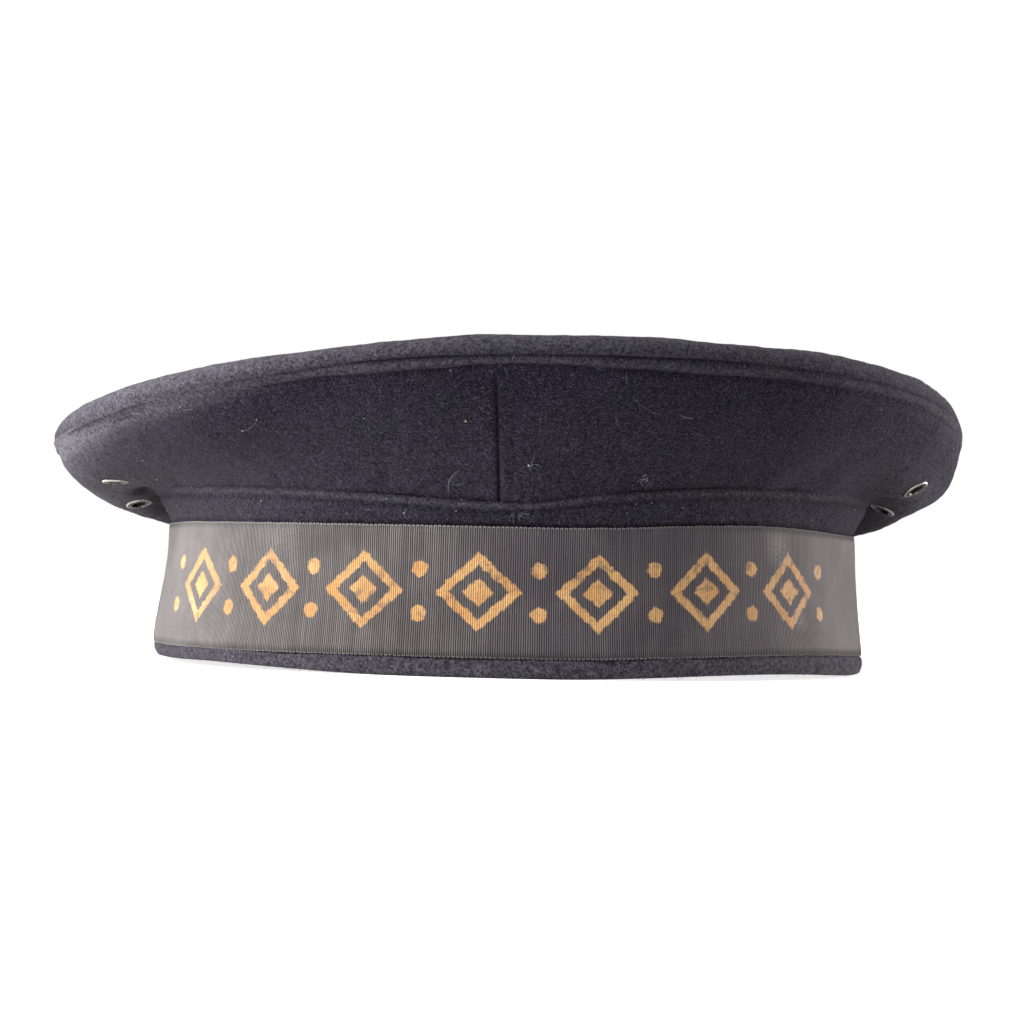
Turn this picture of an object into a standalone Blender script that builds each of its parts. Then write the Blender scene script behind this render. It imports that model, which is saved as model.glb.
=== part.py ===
"""Navy wool sailor cap without a peak: band, ribbon, crown panels, top and vents.

The cap stands on the rim of its band, front facing -Y, up +Z, in metres.
Angles run round the cap from the front (0) through its +X side (90) to the back.
Heights are measured from the plane the rim stands on.
"""
import bmesh
import bpy
from math import asin, atan2, cos, degrees, exp, hypot, pi, radians, sin, sqrt
from mathutils import Vector

MM = 0.001

# ---------------------------------------------------------------- sizes (mm)
SEGMENTS = 72                 # facets round the whole cap
GAP = 0.3                     # clearance kept between neighbouring pieces
WALL = 2.0                    # wool of the crown

BAND_HALF_WIDTH = 90.6        # outer face of the band's wool, at its waist
BAND_HALF_DEPTH = 96.4
BAND_SHIFT = 0.75             # how far the band sits to the +X side of the crown's middle
BAND_WALL = 3.0
BAND_FLARE = 2.6              # how far the bottom edge stands out past the waist
BAND_INNER_FLARE = 0.6        # share of that flare on the inner face
BAND_INNER_EDGE = 1.2         # height where the inner face meets the folded edge
WAIST_HEIGHT = 37.0
FLARE_REACH = 32.0
# Folded bottom edge, from outside to inside.
# out past the flared waist, height
BAND_EDGE = (
    (0.2, 2.6),
    (-0.3, 0.9),
    (-1.3, 0.0),
    (-2.5, 0.0),
)
SEAM_GROOVE_WIDTH = 0.8       # flat of the band's top edge before it rounds over
SEAM_GROOVE_DEPTH = 0.6

RIBBON_BOTTOM = 5.0
RIBBON_TOP = 36.4
RIBBON_THICKNESS = 1.0
RIBBON_PROUD = 0.4            # ribbon's face past the wool above and below it
RIBBON_START = 190            # angle of the covered end, at the back
RIBBON_END = 562              # angle of the lapped end: once round and 12 degrees more
RIBBON_LIFT_FROM = 536        # where the ribbon starts to climb over its covered end
RIBBON_LIFT_TO = 548
RIBBON_ROWS = 4               # faces up the ribbon
# Where handling has pushed the band up: angle, reach (degrees), then how far at its
# bottom edge, at the ribbon's bottom and at the ribbon's top.
BAND_LIFTS = (
    (40, 35, 1.4, 1.2, 1.7),
    (66, 34, 0.5, 0.8, 0.0),
    (305, 42, 1.4, -0.2, -0.1),
    (277, 22, 0.8, 0.2, -0.6),
)
# Where wear has pushed the band out low on the left: angle, reach (degrees), distance,
# height, and how far above and below that height it dies away.
BAND_PUSH = (275, 50, 1.5, 10.0, 23.0, 15.0)

SEAM_HALF_WIDTH = 93.4        # where the crown is sewn to the band
SEAM_HALF_DEPTH = 97.6
RIM_HALF_WIDTH = 119.5        # where the crown is sewn to the top
RIM_HALF_DEPTH = 121.5
RIDGE_HEIGHT = 0.5            # swelling between a seam and the stitch line beside it
BAND_RIDGE_WIDTH = 2.6
FRONT_SEAM = -1.5             # angle of the upright seam at the front

# Height of the rim seam round the cap, as waves: a level, a slope, a saddle and so on.
# waves round the cap, amount at the front, amount at the +X side
RIM_WAVES = (
    (0, 59.5, 0.0),
    (1, 15.6, 3.2),
    (2, 1.7, 1.6),
    (4, -0.25, -0.6),
)
# How far the top stands above the rim seam, written the same way.
ROLL_WAVES = (
    (0, 6.05, 0.0),
    (1, -1.5, -0.27),
    (2, 0.16, -0.07),
    (3, -0.57, -0.12),
    (4, 0.36, 0.45),
)
ROLL_WIDTH = 7.0              # from the rim seam in to the flat of the top
# Degrees: how the top leaves the rim seam, written the same way.
ROLL_START_WAVES = (
    (0, 67.6, 0.0),
    (1, 0.0, 41.0),
    (2, -16.2, 0.0),
)
ROLL_PULL = 4.2
ROLL_END_PULL = 6.0
SEAM_CUT = 62.0               # degrees: direction the two walls meet at the rim seam
TOP_DISH = 2.2                # how far the middle of the top sinks
# Soft waves left in the top by handling: angle, distance out (0 to 1), width (mm), height
TOP_WAVES = (
    (20, 0.62, 26, 1.2),
    (95, 0.55, 30, -1.3),
    (160, 0.68, 24, 1.4),
    (235, 0.60, 28, -1.2),
    (300, 0.66, 24, 1.1),
    (355, 0.97, 20, 0.9),
    (24, 0.96, 12, -0.65),
    (62, 0.97, 14, 0.95),
)

# Crown side panels, one row per section: how the cloth leaves the band, how it reaches
# the rim, and the width of the ridge there.  Slopes in degrees (up is positive), the rest in mm.
# angle, seam_height, seam_slope, seam_pull, rim_slope, rim_pull, ridge_width
SECTIONS = (
    (0, 42.6, 58, 12, 54, 11, 2.2),
    (14, 45.2, 55, 12, 55, 11.4, 3.6),
    (35, 47.4, 50, 12, 56, 12, 3.7),
    (58, 47.2, 25, 14, 66, 15, 2.9),
    (76, 46.6, -6, 14.1, 77.2, 18.6, 3.0),
    (90, 46.5, -8.7, 11, 84.2, 20.6, 3.3),
    (104, 45.4, -37.5, 16.7, 76.5, 12.1, 3.3),
    (122, 44.5, -53.4, 21.2, 73.8, 13.1, 3.3),
    (150, 44.0, -48, 18, 66, 9, 3.3),
    (180, 43.5, -46, 16, 62, 9, 3.3),
    (210, 43.5, -48, 17, 66, 9, 3.3),
    (238, 44.0, -54.6, 20.6, 72.1, 12.7, 3.3),
    (256, 44.5, -49.2, 15.9, 67, 11.4, 3.3),
    (270, 45.2, -31.8, 10.3, 81.9, 12.6, 3.3),
    (284, 45.5, -4.6, 12.3, 83.4, 12.4, 3.3),
    (302, 45.6, 25, 13, 62, 13, 2.8),
    (325, 45.2, 48, 12, 56, 12, 3.5),
    (342, 43.9, 53, 12, 55, 11.5, 3.5),
)
DENT_FADE_LOW = 8.0           # how quickly dents die away at the band and at the rim
DENT_FADE_HIGH = 5.0
# Dents and swellings pressed into the panels.
# angle, distance up the panel (0 to 1), angle_reach, along_reach, height (minus is inward)
DENTS = (
    (79, 0.10, 5.0, 0.10, -1.6),
    (92, 0.30, 8.0, 0.20, 1.0),
    (281, 0.10, 5.0, 0.10, -1.6),
    (268, 0.30, 8.0, 0.20, 1.0),
    (40, 0.62, 16.0, 0.28, 0.8),
    (322, 0.62, 16.0, 0.28, 0.8),
    (205, 0.45, 14.0, 0.30, 0.8),
)

# Where faces are cut along each wall, as shares of its length.
OUTER_ALONG = (0.0, 0.07, 0.15, 0.25, 0.36, 0.48, 0.60, 0.72, 0.83)
INNER_ALONG = (0.84, 0.66, 0.50, 0.36, 0.24, 0.12)
RIDGE_STEPS = (1.0, 0.62, 0.30, 0.0)         # across the ridge under the rim seam
CORNER_STEPS = (0.0, 0.35, 0.70, 1.0)        # round the fold over the band's edge
ROLL_STEPS = (0.0, 0.18, 0.36, 0.55, 0.75, 1.0)
TOP_STEPS = (0.88, 0.70, 0.48, 0.24)
INNER_ROLL_STEPS = (1.0, 0.62, 0.36)

EYELET_BORE = 3.6
EYELET_BARREL = 4.4
EYELET_FLANGE = 6.8
EYELET_FLANGE_THICKNESS = 0.8
EYELET_EDGE = 0.4             # rounding of the flange
EYELET_WASHER = 6.0
EYELET_WASHER_THICKNESS = 0.4
EYELET_WASHER_GAP = 0.7       # the wall is hollow inside, so the washer stands off it
EYELET_HOLE = 5.0
EYELET_FACETS = 16
CUTTER_REACH = 5.0            # half length of the tool that cuts a vent's hole
NUDGE = 0.02                  # step used to measure a surface's direction
# name, angle, distance up the panel
EYELETS = (
    ("vent_eyelet_right_lower", 93.5, 0.18),
    ("vent_eyelet_right_upper", 73.2, 0.444),
    ("vent_eyelet_left_lower", 267.4, 0.233),
    ("vent_eyelet_left_upper", 287.3, 0.387),
)

# ---------------------------------------------------------------- materials
# name: base colour, roughness, metallic
WOOL = ("navy_wool", (0.026, 0.025, 0.042), 0.95, 0.0)
RIBBON = ("grosgrain", (0.078, 0.070, 0.074), 0.80, 0.0)
BLACKENED_METAL = ("blackened_brass", (0.055, 0.052, 0.055), 0.38, 1.0)


def material(spec):
    name, colour, roughness, metallic = spec
    found = bpy.data.materials.get(name)
    if found is not None:
        return found
    made = bpy.data.materials.new(name)
    made.use_nodes = True
    shader = made.node_tree.nodes["Principled BSDF"]
    shader.inputs["Base Color"].default_value = (*colour, 1.0)
    shader.inputs["Roughness"].default_value = roughness
    shader.inputs["Metallic"].default_value = metallic
    made.diffuse_color = (*colour, 1.0)
    return made


# ---------------------------------------------------------------- curves
def oval(half_width, half_depth, turn):
    """Distance of an oval from the cap's axis at an angle (radians)."""
    return 1.0 / sqrt((sin(turn) / half_width) ** 2 + (cos(turn) / half_depth) ** 2)


def band_oval(half_width, half_depth, turn):
    """The same for an oval of the band, which sits a little to one side."""
    return oval(half_width, half_depth, turn) + BAND_SHIFT * sin(turn)


def waves(terms, turn, reach=1.0):
    """Sum of waves round the cap; inside the rim each dies away smoothly."""
    total = 0.0
    for order, front, side in terms:
        total += reach ** order * (front * cos(order * turn) + side * sin(order * turn))
    return total


def section_value(turn, column):
    """Value of one column of SECTIONS at any angle, joined smoothly."""
    angle = degrees(turn) % 360
    count = len(SECTIONS)
    row = count - 1
    for index in range(count - 1):
        if SECTIONS[index][0] <= angle < SECTIONS[index + 1][0]:
            row = index
    places = []
    values = []
    for step in (-1, 0, 1, 2):
        index = row + step
        laps = index // count
        places.append(SECTIONS[index % count][0] + 360 * laps)
        values.append(SECTIONS[index % count][column])
    span = places[2] - places[1]
    u = (angle - places[1]) / span
    start = (values[2] - values[0]) / (places[2] - places[0]) * span
    end = (values[3] - values[1]) / (places[3] - places[1]) * span
    return ((2 * u ** 3 - 3 * u ** 2 + 1) * values[1] + (u ** 3 - 2 * u ** 2 + u) * start
            + (3 * u ** 2 - 2 * u ** 3) * values[2] + (u ** 3 - u ** 2) * end)


def bezier(points, u):
    """Point and direction on a cubic through four (out, up) control points."""
    (ax, az), (bx, bz), (cx, cz), (dx, dz) = points
    v = 1.0 - u
    x = v ** 3 * ax + 3 * v * v * u * bx + 3 * v * u * u * cx + u ** 3 * dx
    z = v ** 3 * az + 3 * v * v * u * bz + 3 * v * u * u * cz + u ** 3 * dz
    tx = v * v * (bx - ax) + 2 * v * u * (cx - bx) + u * u * (dx - cx)
    tz = v * v * (bz - az) + 2 * v * u * (cz - bz) + u * u * (dz - cz)
    length = hypot(tx, tz)
    return (x, z), (tx / length, tz / length)


def seam_point(turn):
    return band_oval(SEAM_HALF_WIDTH, SEAM_HALF_DEPTH, turn), section_value(turn, 1)


def rim_point(turn):
    return oval(RIM_HALF_WIDTH, RIM_HALF_DEPTH, turn), waves(RIM_WAVES, turn)


def panel_controls(turn):
    seam = seam_point(turn)
    rim = rim_point(turn)
    leave = radians(section_value(turn, 2))
    leave_pull = section_value(turn, 3)
    reach = radians(section_value(turn, 4))
    reach_pull = section_value(turn, 5)
    first = (seam[0] + leave_pull * cos(leave), seam[1] + leave_pull * sin(leave))
    second = (rim[0] - reach_pull * cos(reach), rim[1] - reach_pull * sin(reach))
    return seam, first, second, rim


def dent_height(turn, along):
    angle = degrees(turn) % 360
    total = 0.0
    for at, up, angle_reach, along_reach, height in DENTS:
        off = (angle - at + 180) % 360 - 180
        total += height * exp(-(off / angle_reach) ** 2 - ((along - up) / along_reach) ** 2)
    return total * min(1.0, along * DENT_FADE_LOW) * min(1.0, (1 - along) * DENT_FADE_HIGH)


def panel_point(turn, along, inside=0.0):
    """(out, up) of a side panel's face; inside moves it into the wall's depth."""
    (x, z), (tx, tz) = bezier(panel_controls(turn), along)
    down_seam = (1.0 - along) * 3 * section_value(turn, 5)
    raised = dent_height(turn, along)
    ridge_width = section_value(turn, 6)
    if down_seam < ridge_width and inside == 0.0:
        raised += RIDGE_HEIGHT * sin(pi * down_seam / ridge_width)
    lift = raised - inside
    return x + tz * lift, z - tx * lift


# ---------------------------------------------------------------- meshes
def place(turn, out, up):
    return out * sin(turn) * MM, -out * cos(turn) * MM, up * MM


def finish_mesh(name, work, spec, smooth_angle=38.0):
    bmesh.ops.recalc_face_normals(work, faces=work.faces)
    mesh = bpy.data.meshes.new(name)
    work.to_mesh(mesh)
    work.free()
    for face in mesh.polygons:
        face.use_smooth = True
    mesh.set_sharp_from_angle(angle=radians(smooth_angle))
    mesh.materials.append(material(spec))
    made = bpy.data.objects.new(name, mesh)
    bpy.context.scene.collection.objects.link(made)
    return made


def loft(name, sections, spec, closed):
    """Skin over sections of matching points; closed joins the last to the first."""
    work = bmesh.new()
    rows = [[work.verts.new(point) for point in section] for section in sections]
    count = len(rows[0])
    steps = len(rows) if closed else len(rows) - 1
    for index in range(steps):
        here = rows[index]
        there = rows[(index + 1) % len(rows)]
        for k in range(count):
            nxt = (k + 1) % count
            work.faces.new((here[k], there[k], there[nxt], here[nxt]))
    if not closed:
        work.faces.new(rows[0])
        work.faces.new(list(reversed(rows[-1])))
    return finish_mesh(name, work, spec)


def turns_round():
    return [2 * pi * index / SEGMENTS for index in range(SEGMENTS)]


# ---------------------------------------------------------------- band
def fade(away):
    """A soft fall from 1 at 0 to 0 at 1 and beyond."""
    return cos(pi / 2 * min(1.0, away)) ** 2


def band_push(turn, up):
    """How far a point of the band or ribbon has been pushed out from its plain place."""
    at, reach, most, height, over, under = BAND_PUSH
    off = abs((degrees(turn) - at + 180) % 360 - 180)
    away = (up - height) / over if up > height else (height - up) / under
    return most * fade(off / reach) * fade(away)


def flare(turn, up):
    """How far the band stands out past its waist at a height."""
    below = max(0.0, (WAIST_HEIGHT - up) / FLARE_REACH)
    return BAND_FLARE * below ** 2 + band_push(turn, up)


def band_lift(turn, up):
    """How far a point of the band or ribbon has been pushed up from its plain height."""
    if up > RIBBON_TOP + GAP:
        return 0.0
    rise = min(1.0, max(0.0, up - RIBBON_BOTTOM) / (RIBBON_TOP - RIBBON_BOTTOM))
    drop = max(0.0, RIBBON_BOTTOM - up) / RIBBON_BOTTOM
    total = 0.0
    for at, reach, bottom, low, high in BAND_LIFTS:
        off = abs((degrees(turn) - at + 180) % 360 - 180)
        if off < reach:
            lift = low + (high - low) * rise + (bottom - low) * drop
            total += lift * cos(pi / 2 * off / reach) ** 2
    return total


def band_section(turn):
    """Round the band's wool: inner face up, over its top edge, outer face down."""
    waist = band_oval(BAND_HALF_WIDTH, BAND_HALF_DEPTH, turn)
    seam_out, seam_up = seam_point(turn)
    top = seam_up - GAP
    recess = RIBBON_PROUD - RIBBON_THICKNESS - GAP
    inner = waist - BAND_WALL
    low = RIBBON_BOTTOM - GAP
    high = RIBBON_TOP + GAP
    middle = (low + high) / 2
    profile = [
        (inner + flare(turn, BAND_INNER_EDGE) * BAND_INNER_FLARE, BAND_INNER_EDGE),
        (inner + flare(turn, middle) * BAND_INNER_FLARE, middle),
        (inner, WAIST_HEIGHT),
        (seam_out - BAND_WALL, top),
        (seam_out - SEAM_GROOVE_WIDTH, top),
        (seam_out, top - SEAM_GROOVE_DEPTH),
        (seam_out + RIDGE_HEIGHT, top - BAND_RIDGE_WIDTH / 2),
        (seam_out, top - BAND_RIDGE_WIDTH),
        (waist, high),
        (waist + recess, high),
    ]
    for row in range(1, RIBBON_ROWS):
        up = high + (low - high) * row / RIBBON_ROWS
        profile.append((waist + flare(turn, up) + recess, up))
    profile += [
        (waist + flare(turn, low) + recess, low),
        (waist + flare(turn, low), low),
    ]
    edge = waist + BAND_FLARE
    profile += [(edge + band_push(turn, up) + out, up) for out, up in BAND_EDGE]
    return [place(turn, out, up + band_lift(turn, up)) for out, up in profile]


# ---------------------------------------------------------------- ribbon
def ribbon_section(angle):
    turn = radians(angle)
    waist = band_oval(BAND_HALF_WIDTH, BAND_HALF_DEPTH, turn)
    climb = (angle - RIBBON_LIFT_FROM) / (RIBBON_LIFT_TO - RIBBON_LIFT_FROM)
    climb = min(1.0, max(0.0, climb))
    lift = (RIBBON_THICKNESS + GAP) * climb * climb * (3 - 2 * climb)
    face = waist + RIBBON_PROUD + lift
    ups = [RIBBON_BOTTOM + (RIBBON_TOP - RIBBON_BOTTOM) * row / RIBBON_ROWS
           for row in range(RIBBON_ROWS + 1)]
    outer = [(face + flare(turn, up), up) for up in ups]
    inner = [(out - RIBBON_THICKNESS, up) for out, up in reversed(outer)]
    return [place(turn, out, up + band_lift(turn, up)) for out, up in outer + inner]


# ---------------------------------------------------------------- crown sides
def seam_cut():
    """Direction from the outer to the inner face where crown and top walls meet."""
    return -sin(radians(SEAM_CUT)), cos(radians(SEAM_CUT))


def panel_section(turn):
    profile = [panel_point(turn, along) for along in OUTER_ALONG]
    ridge = section_value(turn, 6) / (3 * section_value(turn, 5))
    for step in RIDGE_STEPS:
        profile.append(panel_point(turn, 1.0 - step * ridge))
    rim = rim_point(turn)
    cut = seam_cut()
    profile.append((rim[0] + cut[0] * WALL, rim[1] + cut[1] * WALL))
    for along in INNER_ALONG:
        profile.append(panel_point(turn, along, WALL))
    # turn of the wall over the band's top edge
    seam = seam_point(turn)
    last = radians(section_value(turn, 2)) + pi / 2
    for step in CORNER_STEPS:
        way = last + (pi - last) * step
        profile.append((seam[0] + WALL * cos(way), seam[1] + WALL * sin(way)))
    return [place(turn, out, up) for out, up in profile]


def side_panel(name, first, last):
    half = SEGMENTS // 2
    trim = asin(GAP / 2 / RIM_HALF_DEPTH)
    start = radians(first) + trim
    stop = radians(last) - trim
    turns = [start + (stop - start) * index / half for index in range(half + 1)]
    return loft(name, [panel_section(turn) for turn in turns], WOOL, closed=False)


# ---------------------------------------------------------------- top
def top_height(turn, reach):
    """Height of the top's upper face at a share of the way out to the roll."""
    up = waves(RIM_WAVES, turn, reach) + waves(ROLL_WAVES, turn, reach)
    up -= TOP_DISH * (1 - reach * reach) ** 2
    shoulder = oval(RIM_HALF_WIDTH, RIM_HALF_DEPTH, turn) - ROLL_WIDTH
    x = shoulder * reach * sin(turn)
    y = shoulder * reach * cos(turn)
    for angle, out, width, height in TOP_WAVES:
        wx = shoulder * out * sin(radians(angle))
        wy = shoulder * out * cos(radians(angle))
        up += height * exp(-((x - wx) ** 2 + (y - wy) ** 2) / width ** 2)
    return up


def roll_controls(turn):
    rim = rim_point(turn)
    leave = radians(waves(ROLL_START_WAVES, turn))
    start = (rim[0] + GAP * cos(radians(SEAM_CUT)), rim[1] + GAP * sin(radians(SEAM_CUT)))
    first = (start[0] + ROLL_PULL * cos(leave), start[1] + ROLL_PULL * sin(leave))
    shoulder = (rim[0] - ROLL_WIDTH, top_height(turn, 1.0))
    inner = top_height(turn, 1.0 - NUDGE)
    slope = atan2(shoulder[1] - inner, shoulder[0] * NUDGE)
    second = (shoulder[0] + ROLL_END_PULL * cos(slope), shoulder[1] + ROLL_END_PULL * sin(slope))
    return start, first, second, shoulder


def top_section(turn):
    """Upper face from the rim seam to near the middle, then under face back out."""
    upper = []
    controls = roll_controls(turn)
    for u in ROLL_STEPS:
        upper.append(bezier(controls, u)[0])
    shoulder = controls[3][0]
    for reach in TOP_STEPS:
        upper.append((shoulder * reach, top_height(turn, reach)))
    under = []
    for reach in reversed(TOP_STEPS[1:]):
        under.append((shoulder * reach, top_height(turn, reach) - WALL))
    for u in INNER_ROLL_STEPS:
        (x, z), (tx, tz) = bezier(controls, u)
        under.append((x - tz * WALL, z + tx * WALL))
    cut = seam_cut()
    start = controls[0]
    under.append((start[0] + cut[0] * WALL, start[1] + cut[1] * WALL))
    return upper, under


def top_panel(name):
    work = bmesh.new()
    rows = []
    for turn in turns_round():
        upper, under = top_section(turn)
        rows.append(([work.verts.new(place(turn, *point)) for point in upper],
                     [work.verts.new(place(turn, *point)) for point in under]))
    middle_up = work.verts.new(place(0.0, 0.0, top_height(0.0, 0.0)))
    middle_under = work.verts.new(place(0.0, 0.0, top_height(0.0, 0.0) - WALL))
    for index in range(SEGMENTS):
        here_up, here_under = rows[index]
        there_up, there_under = rows[(index + 1) % SEGMENTS]
        for here, there in ((here_up, there_up), (here_under, there_under)):
            for k in range(len(here) - 1):
                work.faces.new((here[k], there[k], there[k + 1], here[k + 1]))
        work.faces.new((here_up[-1], there_up[-1], middle_up))
        work.faces.new((here_under[0], middle_under, there_under[0]))
        work.faces.new((here_under[-1], there_under[-1], there_up[0], here_up[0]))
    return finish_mesh(name, work, WOOL)


# ---------------------------------------------------------------- vent eyelets
def eyelet_frame(angle, along):
    """Middle of a vent on the crown's outer face, and the outward direction there."""
    turn = radians(angle)
    middle = Vector(place(turn, *panel_point(turn, along)))
    up = Vector(place(turn, *panel_point(turn, along + NUDGE)))
    up -= Vector(place(turn, *panel_point(turn, along - NUDGE)))
    side = Vector(place(turn + NUDGE, *panel_point(turn + NUDGE, along)))
    side -= Vector(place(turn - NUDGE, *panel_point(turn - NUDGE, along)))
    outward = side.cross(up).normalized()
    return middle, outward, side.normalized()


def lathe(name, middle, outward, side, profile, spec):
    """Turn (radius, height) points round the outward direction."""
    across = outward.cross(side).normalized()
    side = across.cross(outward).normalized()
    sections = []
    for index in range(EYELET_FACETS):
        turn = 2 * pi * index / EYELET_FACETS
        spoke = side * cos(turn) + across * sin(turn)
        sections.append([middle + (spoke * radius + outward * height) * MM
                         for radius, height in profile])
    return loft(name, sections, spec, closed=True)


def eyelet(name, angle, along):
    middle, outward, side = eyelet_frame(angle, along)
    bore = EYELET_BORE / 2
    barrel = EYELET_BARREL / 2
    flange = EYELET_FLANGE / 2
    washer = EYELET_WASHER / 2
    crest = GAP + EYELET_FLANGE_THICKNESS
    under = -WALL - EYELET_WASHER_GAP
    back = under - EYELET_WASHER_THICKNESS
    profile = [
        (bore, back),
        (bore, crest - EYELET_EDGE),
        (bore + EYELET_EDGE, crest),
        (flange - EYELET_EDGE, crest),
        (flange, crest - EYELET_EDGE),
        (flange, GAP),
        (barrel, GAP),
        (barrel, under),
        (washer, under),
        (washer, back),
    ]
    return lathe(name, middle, outward, side, profile, BLACKENED_METAL)


def pierce(panel, angle, along):
    """Cut the round hole for a vent through a side panel."""
    middle, outward, side = eyelet_frame(angle, along)
    hole = EYELET_HOLE / 2
    work = bmesh.new()
    across = outward.cross(side).normalized()
    rings = []
    for height in (-CUTTER_REACH, CUTTER_REACH):
        ring = []
        for index in range(EYELET_FACETS):
            turn = 2 * pi * (index + 0.5) / EYELET_FACETS
            spoke = across.cross(outward) * cos(turn) + across * sin(turn)
            ring.append(work.verts.new(middle + (spoke * hole + outward * height) * MM))
        rings.append(ring)
    for index in range(EYELET_FACETS):
        nxt = (index + 1) % EYELET_FACETS
        work.faces.new((rings[0][index], rings[0][nxt], rings[1][nxt], rings[1][index]))
    work.faces.new(rings[0])
    work.faces.new(list(reversed(rings[1])))
    cutter = finish_mesh(panel.name + "_vent_cutter", work, WOOL)
    cutter.hide_render = True
    cutter.display_type = "WIRE"
    cut = panel.modifiers.new("vent_hole", "BOOLEAN")
    cut.operation = "DIFFERENCE"
    cut.solver = "EXACT"
    cut.object = cutter


# ---------------------------------------------------------------- build
for old in list(bpy.data.objects):
    bpy.data.objects.remove(old, do_unlink=True)

loft("band", [band_section(turn) for turn in turns_round()], WOOL, closed=True)

ribbon_steps = round((RIBBON_END - RIBBON_START) * SEGMENTS / 360)
ribbon_angles = [RIBBON_START + (RIBBON_END - RIBBON_START) * index / ribbon_steps
                 for index in range(ribbon_steps + 1)]
loft("tally_ribbon", [ribbon_section(angle) for angle in ribbon_angles], RIBBON, closed=False)

right = side_panel("side_panel_right", FRONT_SEAM, 180)
left = side_panel("side_panel_left", 180, FRONT_SEAM + 360)
top_panel("top_panel")

for eyelet_name, eyelet_angle, eyelet_along in EYELETS:
    eyelet(eyelet_name, eyelet_angle, eyelet_along)
    pierce(right if eyelet_angle < 180 else left, eyelet_angle, eyelet_along)
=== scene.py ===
"""Looks of a navy wool sailor cap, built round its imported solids.

Cloth, ribbon, stitching, vents, nap and lint, with a pale floor, soft light and the camera.
Lengths are in mm until place() turns them into metres.  Angles run round the cap from the
front (0) through its +X side (90) to the back.
"""
import bmesh
import bpy
import numpy as np
from math import cos, pi, radians, sin, sqrt
from mathutils import Matrix, Quaternion, Vector
from mathutils.bvhtree import BVHTree


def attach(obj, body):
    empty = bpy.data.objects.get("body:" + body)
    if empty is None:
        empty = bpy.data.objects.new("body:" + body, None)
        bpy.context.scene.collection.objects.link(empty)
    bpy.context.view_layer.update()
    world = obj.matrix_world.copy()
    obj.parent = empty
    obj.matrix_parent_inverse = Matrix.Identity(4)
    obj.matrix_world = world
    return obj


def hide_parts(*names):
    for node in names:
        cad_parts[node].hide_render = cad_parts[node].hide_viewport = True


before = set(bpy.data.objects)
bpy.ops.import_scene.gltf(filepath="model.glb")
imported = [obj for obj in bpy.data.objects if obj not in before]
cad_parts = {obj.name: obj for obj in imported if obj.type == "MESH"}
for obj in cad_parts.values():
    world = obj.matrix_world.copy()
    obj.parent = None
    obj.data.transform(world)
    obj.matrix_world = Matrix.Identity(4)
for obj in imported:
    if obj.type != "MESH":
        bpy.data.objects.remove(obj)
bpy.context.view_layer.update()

MM = 0.001

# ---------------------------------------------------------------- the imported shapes
GAP = 0.3
WALL = 2.0
BAND_HALF_WIDTH = 90.6
BAND_HALF_DEPTH = 96.4
BAND_SHIFT = 0.75
BAND_WALL = 3.0
BAND_FLARE = 2.6
BAND_INNER_FLARE = 0.6
WAIST_HEIGHT = 37.0
FLARE_REACH = 32.0
RIBBON_BOTTOM = 5.0
RIBBON_TOP = 36.4
RIBBON_PROUD = 0.4
RIBBON_START = 190
RIBBON_END = 562
RIBBON_LIFT_FROM = 536
RIBBON_LIFT_TO = 548
# angle, reach (degrees), lift at the band's bottom edge, at the ribbon's bottom, at its top
BAND_LIFTS = (
    (40, 35, 1.4, 1.2, 1.7),
    (66, 34, 0.5, 0.8, 0.0),
    (305, 42, 1.4, -0.2, -0.1),
    (277, 22, 0.8, 0.2, -0.6),
)
# angle, reach (degrees), distance out, its height, reach above and below that height
BAND_PUSH = (275, 50, 1.5, 10.0, 23.0, 15.0)
FRONT_SEAM = -1.5
SEAM_HALF_WIDTH = 93.4
SEAM_HALF_DEPTH = 97.6
RIM_HALF_WIDTH = 119.5
RIM_HALF_DEPTH = 121.5
RIM_WAVES = ((0, 59.5, 0.0), (1, 15.6, 3.2), (2, 1.7, 1.6), (4, -0.25, -0.6))
ROLL_WAVES = (
    (0, 6.05, 0.0),
    (1, -1.5, -0.27),
    (2, 0.16, -0.07),
    (3, -0.57, -0.12),
    (4, 0.36, 0.45),
)
ROLL_START_WAVES = ((0, 67.6, 0.0), (1, 0.0, 41.0), (2, -16.2, 0.0))
ROLL_WIDTH = 7.0
ROLL_PULL = 4.2
ROLL_END_PULL = 6.0
SEAM_CUT = 62.0
TOP_DISH = 2.2
# angle, distance out (0 to 1), width (mm), height
TOP_WAVES = (
    (20, 0.62, 26, 1.2),
    (95, 0.55, 30, -1.3),
    (160, 0.68, 24, 1.4),
    (235, 0.60, 28, -1.2),
    (300, 0.66, 24, 1.1),
    (355, 0.97, 20, 0.9),
    (24, 0.96, 12, -0.65),
    (62, 0.97, 14, 0.95),
)
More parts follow.
